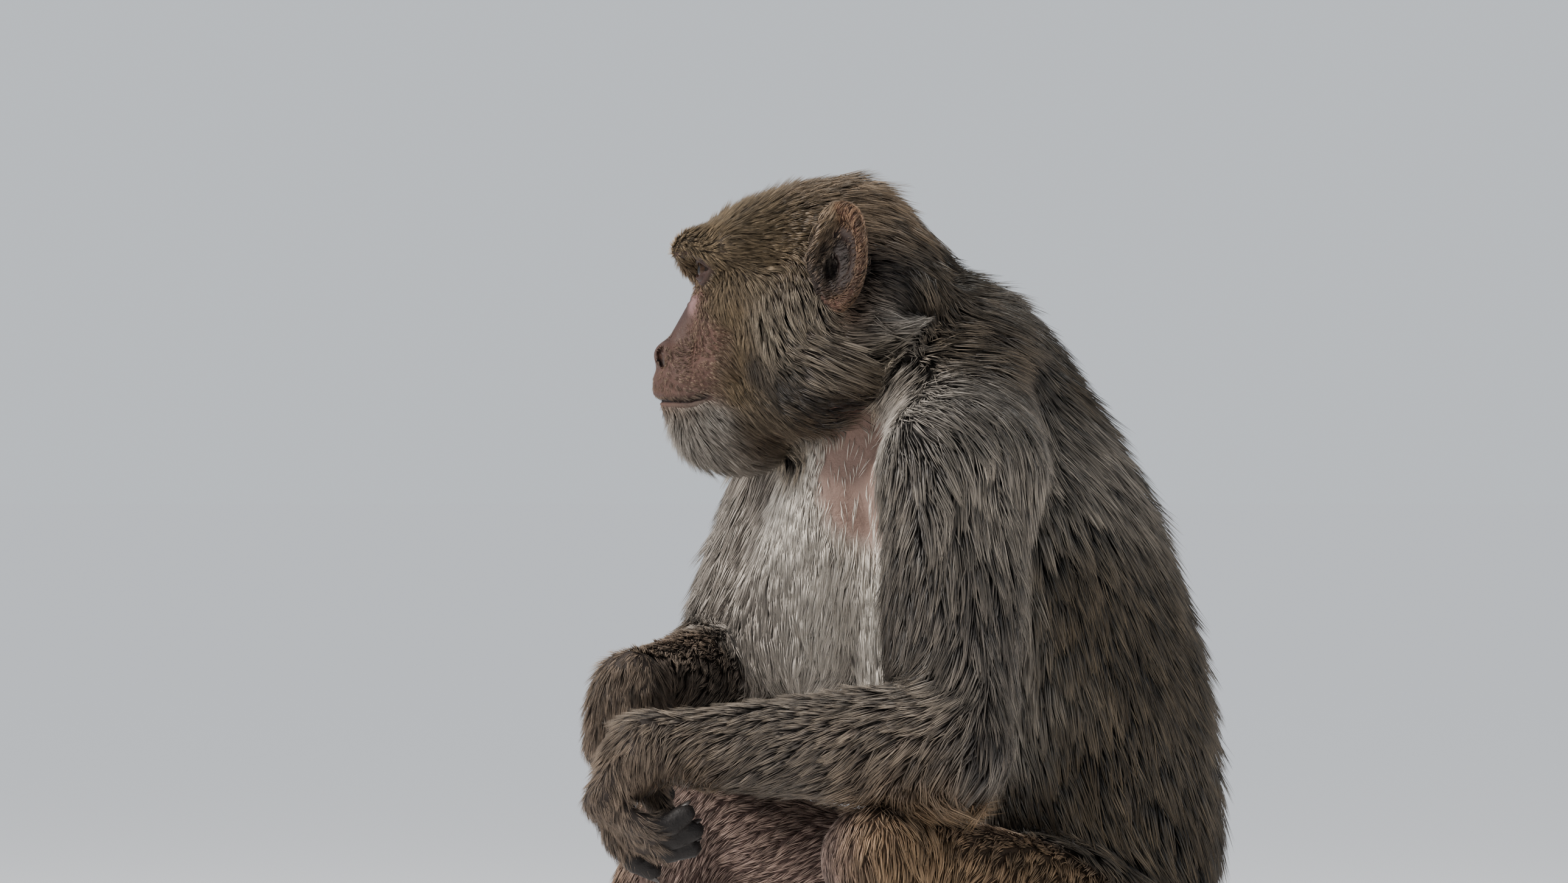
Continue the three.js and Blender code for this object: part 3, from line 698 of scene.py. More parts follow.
shape = bmesh.new()
shape.from_mesh(mesh_of("net", *cast_hide()))
relax(shape, 3)
for chosen in (lambda p: hands_and_feet(p) | bare_face(p) | on_the_ears(p), by_the_eyes, on_the_lids):
    refine(shape, chosen)
    relax(shape, 1, chosen)
relax(shape, 2, on_the_lids)
hide_mesh = bpy.data.meshes.new("hide")
bmesh.ops.recalc_face_normals(shape, faces=shape.faces)
shape.to_mesh(hide_mesh)
shape.free()
hide_mesh.shade_smooth()
hide_piece = piece("hide", hide_mesh)

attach(hide_piece, "root")
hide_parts(*[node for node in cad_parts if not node.startswith("eye_")])

# ---------- the lie of the coat ----------
# The fur is combed as a groomer would, by guides: where each is, which way the hair lies there, its
# length, how far its tips stand off the skin, and which coat it is. All are in millimetres, and those
# of the head and ears are in the head's own axes.
def paint(*steps):
    """Root, middle and tip of a hair as light, from 0-255 paint values."""
    values = np.array(steps, float) / 255
    return np.where(values < 0.04045, values / 12.92, ((values + 0.055) / 1.055) ** 2.4)


# Each coat's hair at its root, middle and tip.
COATS = {
    "olive": ((30, 25, 20), (76, 63, 48), (160, 138, 108)),
    "crown": ((38, 31, 26), (92, 77, 62), (170, 146, 118)),
    "cheek": ((17, 15, 13), (46, 39, 34), (188, 172, 150)),
    "ruff": ((17, 15, 14), (44, 39, 35), (136, 120, 100)),
    # dark: painted shade in creases, hollows and gaps under overhanging tufts, and the fingertips'
    # own dark hair
    "dark": ((14, 13, 13), (34, 31, 30), (92, 84, 76)),
    "white": ((42, 37, 33), (104, 95, 86), (204, 195, 184)),
    "back": ((13, 12, 12), (30, 28, 27), (98, 85, 67)),
    "shoulder": ((25, 23, 22), (62, 58, 55), (158, 148, 135)),
    "elbow": ((19, 18, 18), (49, 46, 44), (124, 115, 105)),
    "arm": ((24, 22, 20), (56, 50, 46), (118, 107, 94)),
    "chest": ((172, 163, 153), (202, 194, 183), (230, 223, 212)),
    "breast": ((118, 110, 102), (148, 139, 130), (184, 175, 165)),
    "thigh": ((44, 33, 23), (102, 80, 58), (164, 137, 105)),
    # rump: the rear's own brown, darkened as painted shade at the seat and hip under the overhanging
    # coat
    "rump": ((15, 11, 9), (40, 30, 23), (98, 73, 50)),
    "hand": ((39, 32, 29), (90, 76, 66), (158, 138, 119)),
    "face": ((60, 40, 34), (98, 70, 58), (158, 134, 112)),
    "ear": ((40, 27, 21), (90, 65, 49), (152, 121, 92)),
    "belly": ((66, 52, 49), (102, 84, 78), (150, 130, 118)),
}
HEAD_GUIDES = [
    # The brow, down over the eyes and up over the forehead.
    ((0, -121, 30), (0, 0.1, -1), 6, 2.5, "crown"),
    ((24, -112, 30), (0.3, 0.4, -1), 6, 2.5, "olive"),
    ((6, -121, 38), (0.7, 0.5, 0), 6, 2.5, "crown"),
    ((18, -117, 37), (0.8, 0.6, 0), 6, 2.5, "olive"),
    ((30, -104, 36), (0.5, 0.9, 0), 8, 3, "olive"),
    ((0, -114, 46), (0, 0.8, 0.5), 9, 4.5, "olive"),
    ((28, -98, 43), (0.15, 0.9, 0.35), 9, 3.5, "olive"),
    ((0, -92, 54), (0, 1, 0.45), 11, 4.5, "olive"),
    # The crown, with its tuft, and the temples.
    ((0, -60, 66), (0, 1, 0.12), 14, 6, "crown"),
    ((0, -33, 67), (0, 1, 0.45), 24, 14, "crown"),
    ((0, -10, 58), (0, 1, -0.2), 20, 7, "crown"),
    ((0, 16, 35), (0, 0.55, -0.85), 28, 13, "back"),
    ((37, -72, 40), (0.1, 1, -0.15), 10, 3.5, "olive"),
    ((44, -34, 54), (0.1, 1, 0.1), 14, 6, "crown"),
    # The cheeks, down from the eyes and then back in long tufts of whiskers.
    ((30, -88, 4), (0.25, 0.3, -1), 7, 2, "olive"),
    ((32, -82, -15), (0.2, 0.5, -0.95), 9, 3.5, "olive"),
    ((40, -66, 0), (0.2, 0.35, -0.95), 14, 6, "cheek"),
    ((46, -48, 6), (0.15, 0.2, -1), 16, 7, "cheek"),
    ((44, -60, -12), (0.2, 0.5, -0.8), 18, 13, "cheek"),
    ((46, -44, -24), (0.2, 0.9, -0.5), 24, 18, "cheek"),
    ((47, -26, -28), (0.2, 1, -0.15), 26, 18, "cheek"),
    ((49, -12, -18), (0.25, 1, 0.1), 26, 16, "cheek"),
    # Painted shade in the creases between the whiskers, and the longest of the whiskers along the
    # jaw.
    ((34, -75, -22), (0.2, 0.5, -0.8), 9, 1.5, "dark"),
    ((41, -60, -36), (0.2, 0.7, -0.6), 9, 1.5, "dark"),
    ((43, -42, -44), (0.2, 0.9, -0.4), 10, 1.5, "dark"),
    ((40, -62, -52), (0.15, 0.9, -0.35), 20, 10, "ruff"),
    ((42, -42, -60), (0.15, 0.8, -0.6), 26, 15, "cheek"),
    ((40, -22, -56), (0.15, 0.9, -0.4), 26, 14, "cheek"),
    # The corner of the mouth.
    ((30, -88, -38), (0.2, 0.6, -0.7), 8, 2.5, "olive"),
    ((30, -84, -54), (0.25, 0.9, -0.5), 14, 6, "ruff"),
    ((26, -101, -52), (0.25, 0.8, -0.6), 9, 4, "white"),
    # The down on the muzzle and nose.
    ((27, -96, -14), (0.2, 1, -0.4), 4, 1.2, "face"),
    ((25, -108, -30), (0.25, 1, -0.1), 3.5, 1, "face"),
    ((24, -98, -38), (0.25, 1, -0.3), 6, 1.6, "face"),
    ((10, -132, -38), (0.5, 0.3, -0.9), 3, 1, "face"),
    ((6, -112, 2), (0.6, 0.4, -0.7), 2.5, 0.6, "face"),
    # The chin and under the jaw.
    ((8, -122, -62), (0.1, 0.25, -1), 10, 5, "white"),
    ((14, -106, -76), (0.15, 0.7, -0.8), 14, 6, "white"),
    ((0, -100, -80), (0, 0.9, -0.5), 14, 5, "white"),
    ((0, -60, -70), (0, 1, -0.3), 18, 6, "cheek"),
    # Behind the ear: painted shade in the hollow, the edge of the mantle and a white tuft.
    ((46, -8, 22), (0.2, 0.9, -0.45), 16, 5, "dark"),
    ((46, 2, 6), (0.2, 0.8, -0.6), 18, 5, "dark"),
    ((38, 10, 30), (0.2, 0.7, -0.7), 28, 13, "ruff"),
    ((40, 16, 4), (0.2, 0.5, -0.85), 30, 15, "ruff"),
    ((36, 20, -10), (0.2, 0.4, -0.9), 28, 18, "ruff"),
    ((51, -12, -6), (0.35, 0.9, 0.35), 24, 22, "white"),
    ((48, -3, -10), (0.35, 0.9, 0.3), 22, 20, "white"),
]
TRUNK_GUIDES = [
    # The back and flanks, down to the rump.
    ((0, 80, 400), (0, 0.55, -0.85), 34, 14, "back"),
    ((0, 140, 300), (0, 0.35, -0.95), 34, 13, "back"),
    ((0, 165, 180), (0, 0.05, -1), 32, 12, "back"),
    ((0, 150, 80), (0, -0.15, -1), 28, 10, "rump"),
    ((98, 60, 260), (0.05, 0.25, -1), 34, 13, "back"),
    ((98, 85, 150), (0, 0.25, -1), 32, 12, "back"),
    # Over the shoulders.
    ((62, 40, 376), (0.45, 0.5, -0.75), 34, 13, "shoulder"),
    ((30, 60, 390), (0.3, 0.7, -0.7), 36, 14, "back"),
    # The chest and belly.
    ((0, -55, 320), (0.05, -0.2, -1), 20, 5, "chest"),
    ((50, -64, 310), (-0.3, -0.35, -0.9), 22, 6, "chest"),
    ((0, -40, 180), (0, 0, -1), 20, 5, "chest"),
    ((56, -40, 200), (-0.1, -0.2, -1), 22, 6, "chest"),
    # The flank behind the arm, and the seat.
    ((99, -18, 200), (0.05, 0.3, -1), 30, 12, "back"),
    ((94, -30, 150), (0.05, 0.3, -1), 28, 10, "back"),
    ((66, -6, 176), (0.05, 0.3, -1), 26, 8, "back"),
    ((78, -40, 120), (0.05, 0.3, -1), 24, 8, "rump"),
    ((104, 20, 300), (0.05, 0.3, -1), 34, 13, "back"),
    ((100, 30, 200), (0.05, 0.2, -1), 32, 12, "back"),
    ((60, 0, 40), (0, 0.1, -1), 14, 5, "thigh"),
    ((0, 70, 12), (0, 0.3, -0.3), 8, 3, "rump"),
]
EAR_GUIDES = [
    # The rim, the hollow with painted shade in it, and the tuft ahead of it.
    ((56, -27, 54), (0.2, 0.5, 0.8), 5, 1.6, "ear"),
    ((56, -12, 28), (0.3, 0.7, 0.4), 4, 1.4, "ear"),
    ((52, -26, 28), (0.3, 0.7, 0.6), 6, 1.2, "dark"),
    ((52, -30, 12), (0.3, 0.7, 0.6), 5, 1.2, "dark"),
    ((58, -42, 45), (0.3, 0.8, 0.7), 13, 4, "crown"),
    ((56, -27, 2), (0.2, 0.6, -0.7), 4, 1.4, "ear"),
]
NECK_GUIDES = [
    # The back and sides of the neck, with painted shade in the gap under the ruff.
    ((0, 55, 415), (0, 0.75, -0.65), 32, 14, "back"),
    ((50, -22, 408), (0.2, 0.6, -0.8), 28, 16, "ruff"),
    ((52, -6, 394), (0.3, 0.6, -0.75), 18, 3, "dark"),
    ((44, 34, 408), (0.3, 0.7, -0.7), 34, 15, "back"),
    ((56, 6, 374), (0.4, 0.4, -0.85), 30, 10, "shoulder"),
    # The throat and breast, and where they meet the shoulders.
    ((0, -62, 345), (0, -0.1, -1), 9, 2, "chest"),
    ((24, -52, 356), (0.1, -0.1, -1), 9, 2, "chest"),
    ((-70, -60, 280), (0.1, -0.1, -1), 20, 5, "breast"),
    ((-40, -62, 330), (0, -0.1, -1), 18, 4, "chest"),
    ((-24, -64, 268), (0, -0.1, -1), 18, 4, "chest"),
    ((-8, -62, 300), (0, -0.1, -1), 18, 4, "chest"),
    ((34, -42, 368), (0.1, 0, -1), 16, 5, "breast"),
    ((50, -24, 372), (0.4, 0.3, -0.8), 26, 9, "shoulder"),
    ((64, -20, 360), (0.5, 0.3, -0.8), 30, 10, "shoulder"),
    ((54, -44, 320), (0.2, -0.1, -1), 20, 6, "breast"),
    ((60, -50, 270), (0, -0.1, -1), 20, 6, "breast"),
]


class Guide:
    """How the coat is at one place."""

    def __init__(self, where, lie, length, depth, coat, in_head=False):
        self.where = from_head(mm(*where)) if in_head else mm(*where)
        self.lie = unit(np.array(lie, float))
        if in_head:
            self.lie = self.lie @ HEAD_AXES
        self.sizes = np.array([length * MM, depth * MM])
        self.paint = paint(*COATS[coat])


def mirrored(rows):
    """The rows, with a right-hand copy of each that isn't on the midline."""
    right = [((-x, y, z), (-a, b, c), *rest) for (x, y, z), (a, b, c), *rest in rows if x]
    return rows + right


def along(a, b, sag, length, depth, coats):
    """Guides down a limb from a to b: the hair follows the bone and sags, on all sides alike."""
    a, b = np.array(a, float), np.array(b, float)
    way = unit(b - a) + np.array([0, 0, -sag])
    return [Guide(a + (b - a) * t, way, length, depth, coat) for t, coat in zip((0, 0.5, 1), coats)]


BEYOND_TAIL = (-160, 170, 9)
guides = {
    "head": [Guide(*row, in_head=True) for row in mirrored(HEAD_GUIDES)],
    "ears": [Guide(*row, in_head=True) for row in mirrored(EAR_GUIDES)],
    "trunk": [Guide(*row) for row in mirrored(TRUNK_GUIDES)],
    "neck": [Guide(*row) for row in mirrored(NECK_GUIDES)],
    "tail": [
        Guide(a, np.subtract(b, a), 16, 6, "back")
        for a, b in zip(TAIL_LINE, TAIL_LINE[1:] + [BEYOND_TAIL])
    ],
    "pads": [Guide((0, 70, 5), (0, 1, 0), 3, 1, "face")],
}
guides["eyes"] = guides["head"]
for side, limb in LIMBS.items():
    s = SIDES[side]
    shoulder, elbow, wrist = limb["arm"]
    hip, knee, ankle = limb["leg"]
    inner = np.array([-s * 34, -12, 0])
    # Upper arm: outside, inside, back, over the shoulder, front, and into the crook of the elbow.
    upper_arm = along(shoulder - inner, elbow - inner, 0.5, 32, 12, ("shoulder", "elbow", "elbow"))
    inside = {"left": ("shoulder",) * 3, "right": ("shoulder", "breast", "breast")}[side]
    for offset, coats in (((-s * 36, -20, 0), inside), ((-s * 6, 38, 0), ("back",) * 3)):
        upper_arm += along(*np.add((shoulder, elbow), offset), 0.5, 28, 9, coats)
    for top in ((-s * 14, 8, 48), (s * 6, -26, 40), (s * 20, 12, 36)):
        over = (s * 0.7, 0.35, -0.7)
        upper_arm.append(Guide(np.add(shoulder, top), over, 32, 11, "shoulder"))
    ahead_of = np.array([-s * 16, -40, 0])
    front = {"left": ("shoulder", "elbow", "elbow"), "right": ("breast", "breast", "arm")}[side]
    upper_arm += along(shoulder + ahead_of, elbow + ahead_of, 0.6, 26, 8, front)
    heading = unit(np.subtract(wrist, elbow))
    for crook in ((-s * 8, -44, 14), (-s * 34, -26, 16)):
        upper_arm.append(Guide(np.add(elbow, crook), heading + (0, 0, -0.3), 20, 6, "arm"))
    # Forearm: all round, on top, and the fringe that hangs under it, deepest at the elbow.
    forearm = along(elbow, wrist, 0.6, 16, 5, ("arm",) * 3)
    upper = [(np.array(p) + (0, 0, 26)) for p in (elbow, wrist)]
    lower = [(np.array(p) - (0, 0, 26)) for p in (elbow, wrist)]
    # The right forearm's top takes the lighter hand coat: painted light from above on the far
    # forearm.
    forearm += along(*upper, 0.1, 14, 4, {"left": ("arm",) * 3, "right": ("hand",) * 3}[side])
    hang = (0, 0, -1) - heading * 0.5
    forearm += [Guide(p, hang, 26, depth, "thigh") for p, depth in zip(lower, (18, 9))]
    hand = along(wrist, np.add(wrist, (0, 0, -60)), 0, 11, 3.5, ("hand",) * 3)
    hand += [Guide(end, end - last, 5, 1.4, "dark") for last, end, _ in tips[f"hand_{side}"]]
    # Leg: outside and inside of the thigh and of the shin, then the foot to its toes.
    thigh = along(hip - inner, knee - inner, 1.2, 17, 5, ("rump", "thigh", "thigh"))
    thigh += along(hip + inner, knee + inner, 0.8, 11, 2, ("belly",) * 3)
    shin = along(knee - inner, ankle - inner, 0.4, 15, 5, ("thigh", "thigh", "hand"))
    shin += along(knee + inner, ankle + inner, 0.4, 11, 2, ("belly", "belly", "hand"))
    ahead = np.array([s * math.sin(limb["toes"]), -math.cos(limb["toes"]), -0.15])
    foot = [
        Guide(ankle, ahead, 9, 2.5, "hand"),
        Guide(np.add(ankle, ahead * 100), ahead, 5, 1.5, "hand"),
    ]
    groups = {
        "upper_arm": upper_arm, "forearm": forearm, "hand": hand,
        "thigh": thigh, "shin": shin, "foot": foot,
    }
    guides.update({f"{group}_{side}": several for group, several in groups.items()})


RULE_FADE = 5 * MM  # how soon one group's rule gives way to its neighbour's
GUIDE_CORE = 5 * MM  # no guide counts as closer than this
GUIDE_FALL = -2.1  # how a guide's weight falls, as a power of its distance squared
LEAST_RULE = 0.01
NEAR = 0.02  # how far from its middle's reach a form still counts


def nearness(points):
    """How strongly each group of flesh rules the coat at each point."""
    gaps = {}
    for name, forms in flesh.items():
        gap = np.full(len(points), FAR)
        for form in forms:
            near = np.flatnonzero(np.abs(points - form.centre).max(axis=1) < form.reach + NEAR)
            if len(near) and not form.dent:
                gap[near] = np.minimum(gap[near], form.distance(points[near]))
        gaps[name] = gap
    least = np.min(list(gaps.values()), axis=0)
    return {name: np.exp(-(gap - least) / RULE_FADE) for name, gap in gaps.items()}


def comb(points):
    """The coat at points: the way it lies, its length and depth, and its hairs' paint."""
    count = len(points)
    way, sizes, coat = (np.zeros((count, *shape)) for shape in ((3,), (2,), (3, 3)))
    total = np.zeros(count)
    for name, rule in nearness(points).items():
        for guide in guides[name]:
            away = ((points - guide.where) ** 2).sum(1) + GUIDE_CORE**2
            weight = rule * (away / 1e-4) ** GUIDE_FALL
            weight[rule < LEAST_RULE] = 0
            way += weight[:, None] * guide.lie
            sizes += weight[:, None] * guide.sizes
            coat += weight[:, None, None] * guide.paint
            total += weight
    total = np.maximum(total, 1e-12)
    return way / total[:, None], sizes / total[:, None], coat / total[:, None, None]


def on_fingertips(points):
    """How far the points are into the last joint of a finger or toe, 0 to 1."""
    found = np.zeros(len(points))
    for last, end, _ in [one for several in tips.values() for one in several]:
        axis = (end - last) * MM
        along_it = (points - last * MM) @ axis / (axis @ axis)
        off = norms(points - last * MM - np.clip(along_it, -1, 1)[:, None] * axis)
        found = np.maximum(found, smooth(-1.2, -0.3, along_it) * fade(9.5, 7.5, off))
    return found


THROAT = {"centre": (14, -60, 342), "radii": (40, 46, 48)}


def bareness(points, facing):
    """1 where the skin is bare, 0 under the full coat; facing is the way the skin faces."""
    x, y, z = to_head(points).T
    nose = fade(17, 9, np.abs(x)) * fade(-102, -108, y) * fade(14, 8, z)
    muzzle = fade(-94, -104, y) * fade(4, -6, z) * fade(-47, -38, z)
    lips = fade(2.0, 0.9, np.abs(below_mouth(points))) * fade(-98, -104, y)
    found = [nose * fade(-36, -28, z), 0.6 * muzzle, lips]
    for s in (-1, 1):
        u, v, w = on_eye(points, s).T
        found.append(fade(10.5, 7.5, np.hypot(u * 0.85, v)) * fade(2, 5, w))
        u, v, w = on_ear(points, s).T
        share = ear_share(u, v)
        rise = off_cup(share, w) + 5 * MM * smooth(0.8, 0.5, share)
        inside = fade(-1, 0.6, rise) * fade(-11, -7, u)
        amount = 0.35 + 0.5 * smooth(0.75, 0.5, share)
        found.append(amount * smooth(1.1, 1.02, share) * inside * smooth(0.014, 0.011, np.abs(w)))
    throat = (points - mm(*THROAT["centre"])) / mm(*THROAT["radii"])
    found += [smooth(1.15, 0.75, norms(throat)), fade(2.5, 0.8, points[:, 2])]
    for limb in LIMBS.values():
        elbow, wrist = np.array(limb["arm"][1:], float)
        palm = unit((elbow - wrist) * (1, 1, 0))
        near = fade(95, 75, norms(points - mm(*(wrist - (0, 0, 45)))))
        below = smooth(wrist[2] * MM - 24 * MM, wrist[2] * MM - 34 * MM, points[:, 2])
        ahead = fade(-30, -20, (mm(*wrist) - points) @ palm)
        found.append(near * below * ahead * smooth(0.1, 0.6, facing @ palm))
    return np.max(found + [on_fingertips(points)], axis=0)


# ---------- painting the hide ----------
# Under the coat the skin is as dark as the roots, painted shade between the locks; the face is
# pinkish brown, the ears reddish, the palms, soles and fingertips black, and the inside of the
# thighs lilac.
def tint(*rgb):
    return paint(rgb)[0]


def face_blends(points):
    """The bare face's and ears' colours, each with where it lies, in the order they are laid on."""
    x, y, z = to_head(points).T
    across = np.abs(x)
    bridge = fade(-14, 0, z) * fade(12, 5, across) * fade(16, 8, z)
    under_eyes = norms(np.stack([across, y, z], 1) - mm(12, -108, 7))
    line = np.abs(below_mouth(points))
    front = fade(-96, -102, y)
    blends = [
        (fade(3, 11, z) * fade(-95, -104, y), tint(52, 33, 28)),
        (bridge, tint(47, 32, 29)),
        # Under the eyes: pink skin, lightened by a painted highlight.
        (fade(11, 6, under_eyes), tint(98, 74, 73)),
        (fade(-44, -50, z), tint(70, 52, 45)),  # the chin
        (fade(5, 2.5, line) * front, tint(46, 29, 26)),  # the lips
        # The mouth's slit: painted shade in the crease between the lips.
        (fade(1.6, 0.7, line) * front, tint(26, 15, 13)),  # between them
        (fade(-60, -45, y), tint(72, 44, 34)),  # behind the face
    ]
    for s in (-1, 1):
        u, v, w = on_ear(points, s).T
        # Inside the ear: painted shade in its hollow.
        in_ear = smooth(0.9, 0.6, ear_share(u, v)) * smooth(0.02, 0.012, np.abs(w))
        blends.append((in_ear, tint(24, 12, 9)))
        u, v, w = on_eye(points, s).T
        # Round the eye: the lids' own reddish brown, darkened as painted shade of the deep eye
        # socket.
        blends.append((fade(17, 11, np.hypot(u, v * 1.2)) * fade(0, 4, w), tint(38, 21, 16)))
        # The nostrils: painted shade inside them.
        nostril_share = norms((to_head(points) - mm(s * 10, -128.5, -23)) / mm(4, 3.4, 5))
        blends.append((smooth(1.1, 0.7, nostril_share), tint(16, 9, 8)))
    return blends


def hide_paint(points, facing):
    """The hide's colour at points, and how bare it is there."""
    _, sizes, coat = comb(points)
    # Under the coat the skin takes the roots' dark colour: painted shade between the locks.
    colour = coat[:, 0] * 0.8 + coat[:, 1] * 0.2
    fine = fade(5, 2.5, sizes[:, 0])
    skin = np.tile(tint(53, 35, 29), (len(points), 1))
    for mask, tone in face_blends(points):
        skin += mask[:, None] * (tone - skin)
    rules = nearness(points)
    dark = np.zeros(len(points))
    for name, rule in rules.items():
        if name.startswith(("hand", "foot")):
            dark = np.maximum(dark, smooth(0.2, 0.8, rule))
    skin += dark[:, None] * (tint(18, 14, 13) - skin)
    skin += (smooth(0.2, 0.8, rules["pads"]) * (1 - dark))[:, None] * (tint(170, 124, 114) - skin)
    throat = smooth(0.065, 0.035, norms(points - mm(14, -60, 344)))
    skin += throat[:, None] * (tint(118, 97, 88) - skin)
    thighs = [rules[f"{part}_{side}"] for part in ("thigh", "shin") for side in SIDES]
    groin = np.max([smooth(0.2, 0.8, rule) for rule in thighs], axis=0)
    skin += (groin * (1 - throat))[:, None] * (tint(112, 88, 86) - skin)
    bare = np.max([bareness(points, facing), fine * 0.75, dark * 0.4], axis=0)
    return colour + bare[:, None] * (skin - colour), bare


def add_colour(mesh, name, colours):
    layer = mesh.attributes.new(name, "FLOAT_COLOR", "POINT")
    layer.data.foreach_set("color", np.c_[colours, np.ones(len(colours))].ravel())


class Wire:
    """A shader socket that sums, differences and products can be written with."""

    def __init__(self, finish, socket):
        self.finish = finish
        self.socket = socket

    def maths(self, operation, first, second):
        return self.finish.node("ShaderNodeMath", {"operation": operation}, {0: first, 1: second})

    def __add__(self, other):
        return self.maths("ADD", self, other)

    def __sub__(self, other):
        return self.maths("SUBTRACT", self, other)

    def __rsub__(self, other):
        return self.maths("SUBTRACT", other, self)

    def __mul__(self, other):
        return self.maths("MULTIPLY", self, other)

    __radd__ = __add__
    __rmul__ = __mul__


class Finish:
    """One material: its surface shader with its constants, and the nodes that feed it."""

    def __init__(self, name, **constants):
        self.material = bpy.data.materials.new(name)
        self.material.use_nodes = True
        self.tree = self.material.node_tree
        self.surface = self.tree.nodes["Principled BSDF"]
        self.feed(self.surface, {name.replace("_", " "): value for name, value in constants.items()})

    def feed(self, node, sockets):
        for key, value in sockets.items():
            if isinstance(value, Wire):
                self.tree.links.new(value.socket, node.inputs[key])
            else:
                node.inputs[key].default_value = value

    def node(self, kind, settings, sockets, out=0):
        node = self.tree.nodes.new(kind)
        for key, value in settings.items():
            setattr(node, key, value)
        self.feed(node, sockets)
        return Wire(self, node.outputs[out])

    def attribute(self, name):
        return self.node("ShaderNodeAttribute", {"attribute_name": name}, {})

    def noise(self, scale, detail=3.0):
        where = self.node("ShaderNodeTexCoord", {}, {}, "Object")
        sizes = {"Vector": where, "Scale": scale, "Detail": detail}
        return self.node("ShaderNodeTexNoise", {}, sizes)

    def tinted(self, colour, amount, light, dark):
        """The colour multiplied by a grey that goes from dark to light with the amount."""
        grey = self.node("ShaderNodeMapRange", {}, {"Value": amount, "To Min": dark, "To Max": light})
        mixing = {"data_type": "RGBA", "blend_type": "MULTIPLY"}
        factor, first, second, result = 0, 6, 7, 2  # this node's sockets when it mixes colours
        return self.node("ShaderNodeMix", mixing, {factor: 1.0, first: colour, second: grey}, result)


points = read(hide_mesh.vertices, "co") - UNDER_CHEST
facing = read(hide_mesh.vertex_normals, "vector")
colours, bare = hide_paint(points, facing)
add_colour(hide_mesh, "tone", colours)
add_colour(hide_mesh, "bare", np.repeat(bare[:, None], 3, axis=1))
skin = Finish(
    "skin", Subsurface_Weight=0.04, Subsurface_Radius=(0.004, 0.0015, 0.001), Specular_IOR_Level=0.22
)
pores = skin.noise(1400.0)
blotches = skin.noise(90.0, 4.0)
grain = {"Strength": 0.7, "Distance": 0.0008, "Height": pores * 0.4 + skin.noise(420.0)}
skin.feed(skin.surface, {
    "Base Color": skin.tinted(skin.attribute("tone"), blotches, 1.35, 0.6),
    "Roughness": 0.85 - skin.attribute("bare") * 0.25,
    "Normal": skin.node("ShaderNodeBump", {}, grain),
})
hide_mesh.materials.append(skin.material)

# ---------- the coat ----------
# Locks of fur over the skin, each a slim closed spindle of a few faces that follows the lie of the
# coat from its root, turns with the body halfway and ends in a fine tip. Neighbouring locks draw
# together into tufts, and each has its own patch of the map. Short hair is straight spikes.
AREA = mm(0.42, 0.072)  # mm2 that one lock covers: at no length, and more for each mm of length
MOST_BARE = 0.97  # the share of locks that bare skin is without
BEND = 0.45  # how far along its length a lock turns with the body
WAVE, STRAY = 0.13, 0.10  # how far the lie wanders, over waves of the coat and from lock to lock
LOCKS_IN_TUFT = 9
THINNEST, THICKENING = 0.26 * MM, 0.025  # a lock's width at no length, and what its length adds
OFF_FLOOR = 1 * MM
PATCH = 0.003  # the size of a lock's patch of the map
REGIONS = {
    "head": "head", "eyes": "head", "ears": "head", "neck": "neck", "upper_arm": "arm",
    "forearm": "arm", "hand": "hand", "thigh": "leg", "shin": "leg", "foot": "foot",
    "tail": "tail", "pads": "trunk", "trunk": "trunk",
}
# How thickly each region is grown, beside the head and shoulders.
THICK = {
    "head_front": 2.6, "head_rear": 1.6, "neck": 1.25, "arm": 0.88, "leg": 0.52, "tail": 0.5,
    "hand": 1.2, "foot": 0.5, "trunk_high": 1.3, "trunk_low": 0.72,
}
SPIKED = ("hand", "foot", "head_front")
rng = np.random.default_rng(7)


def joined(*words):
    """Words, or arrays of them, joined by underscores."""
    text = words[0]
    for word in words[1:]:
        text = np.char.add(np.char.add(text, "_"), word)
    return text


def coat_regions(middles):
    """The coat piece of each triangle, by its middle."""
    rules = nearness(middles)
    strongest = np.argmax(list(rules.values()), axis=0)
    groups = [name.removesuffix("_left").removesuffix("_right") for name in rules]
    kinds = np.array([REGIONS[group] for group in groups])[strongest]
    sides = np.array([name[len(group) + 1 :] for name, group in zip(rules, groups)])[strongest]
    x, y, _ = to_head(middles).T
    front, half = np.where(y < -66 * MM, "front", "rear"), np.where(x > 0, "left", "right")
    level = np.where(middles[:, 2] > 230 * MM, "high", "low")
    flank = np.where(middles[:, 0] > 0, "left", "right")
    names = np.where(sides == "", kinds, joined(kinds, sides))
    names = np.where(kinds == "head", joined("head", front, half), names)
    return np.where(kinds == "trunk", joined("trunk", level, flank), names)


def unwrap(name, verts, faces):
    """The region's own unwrap: the map coordinates of each corner of each triangle."""
    mesh = mesh_of(name, verts, faces)
    thing = put(name, mesh)
    bpy.context.view_layer.objects.active = thing
    thing.select_set(True)
    bpy.ops.object.mode_set(mode="EDIT")
    bpy.ops.mesh.select_all(action="SELECT")
    bpy.ops.uv.smart_project(angle_limit=math.radians(66), island_margin=0.005)
    bpy.ops.object.mode_set(mode="OBJECT")
    spots = read(mesh.uv_layers.active.data, "uv", 2)
    bpy.data.meshes.remove(mesh)
    return spots.reshape(-1, 3, 2)


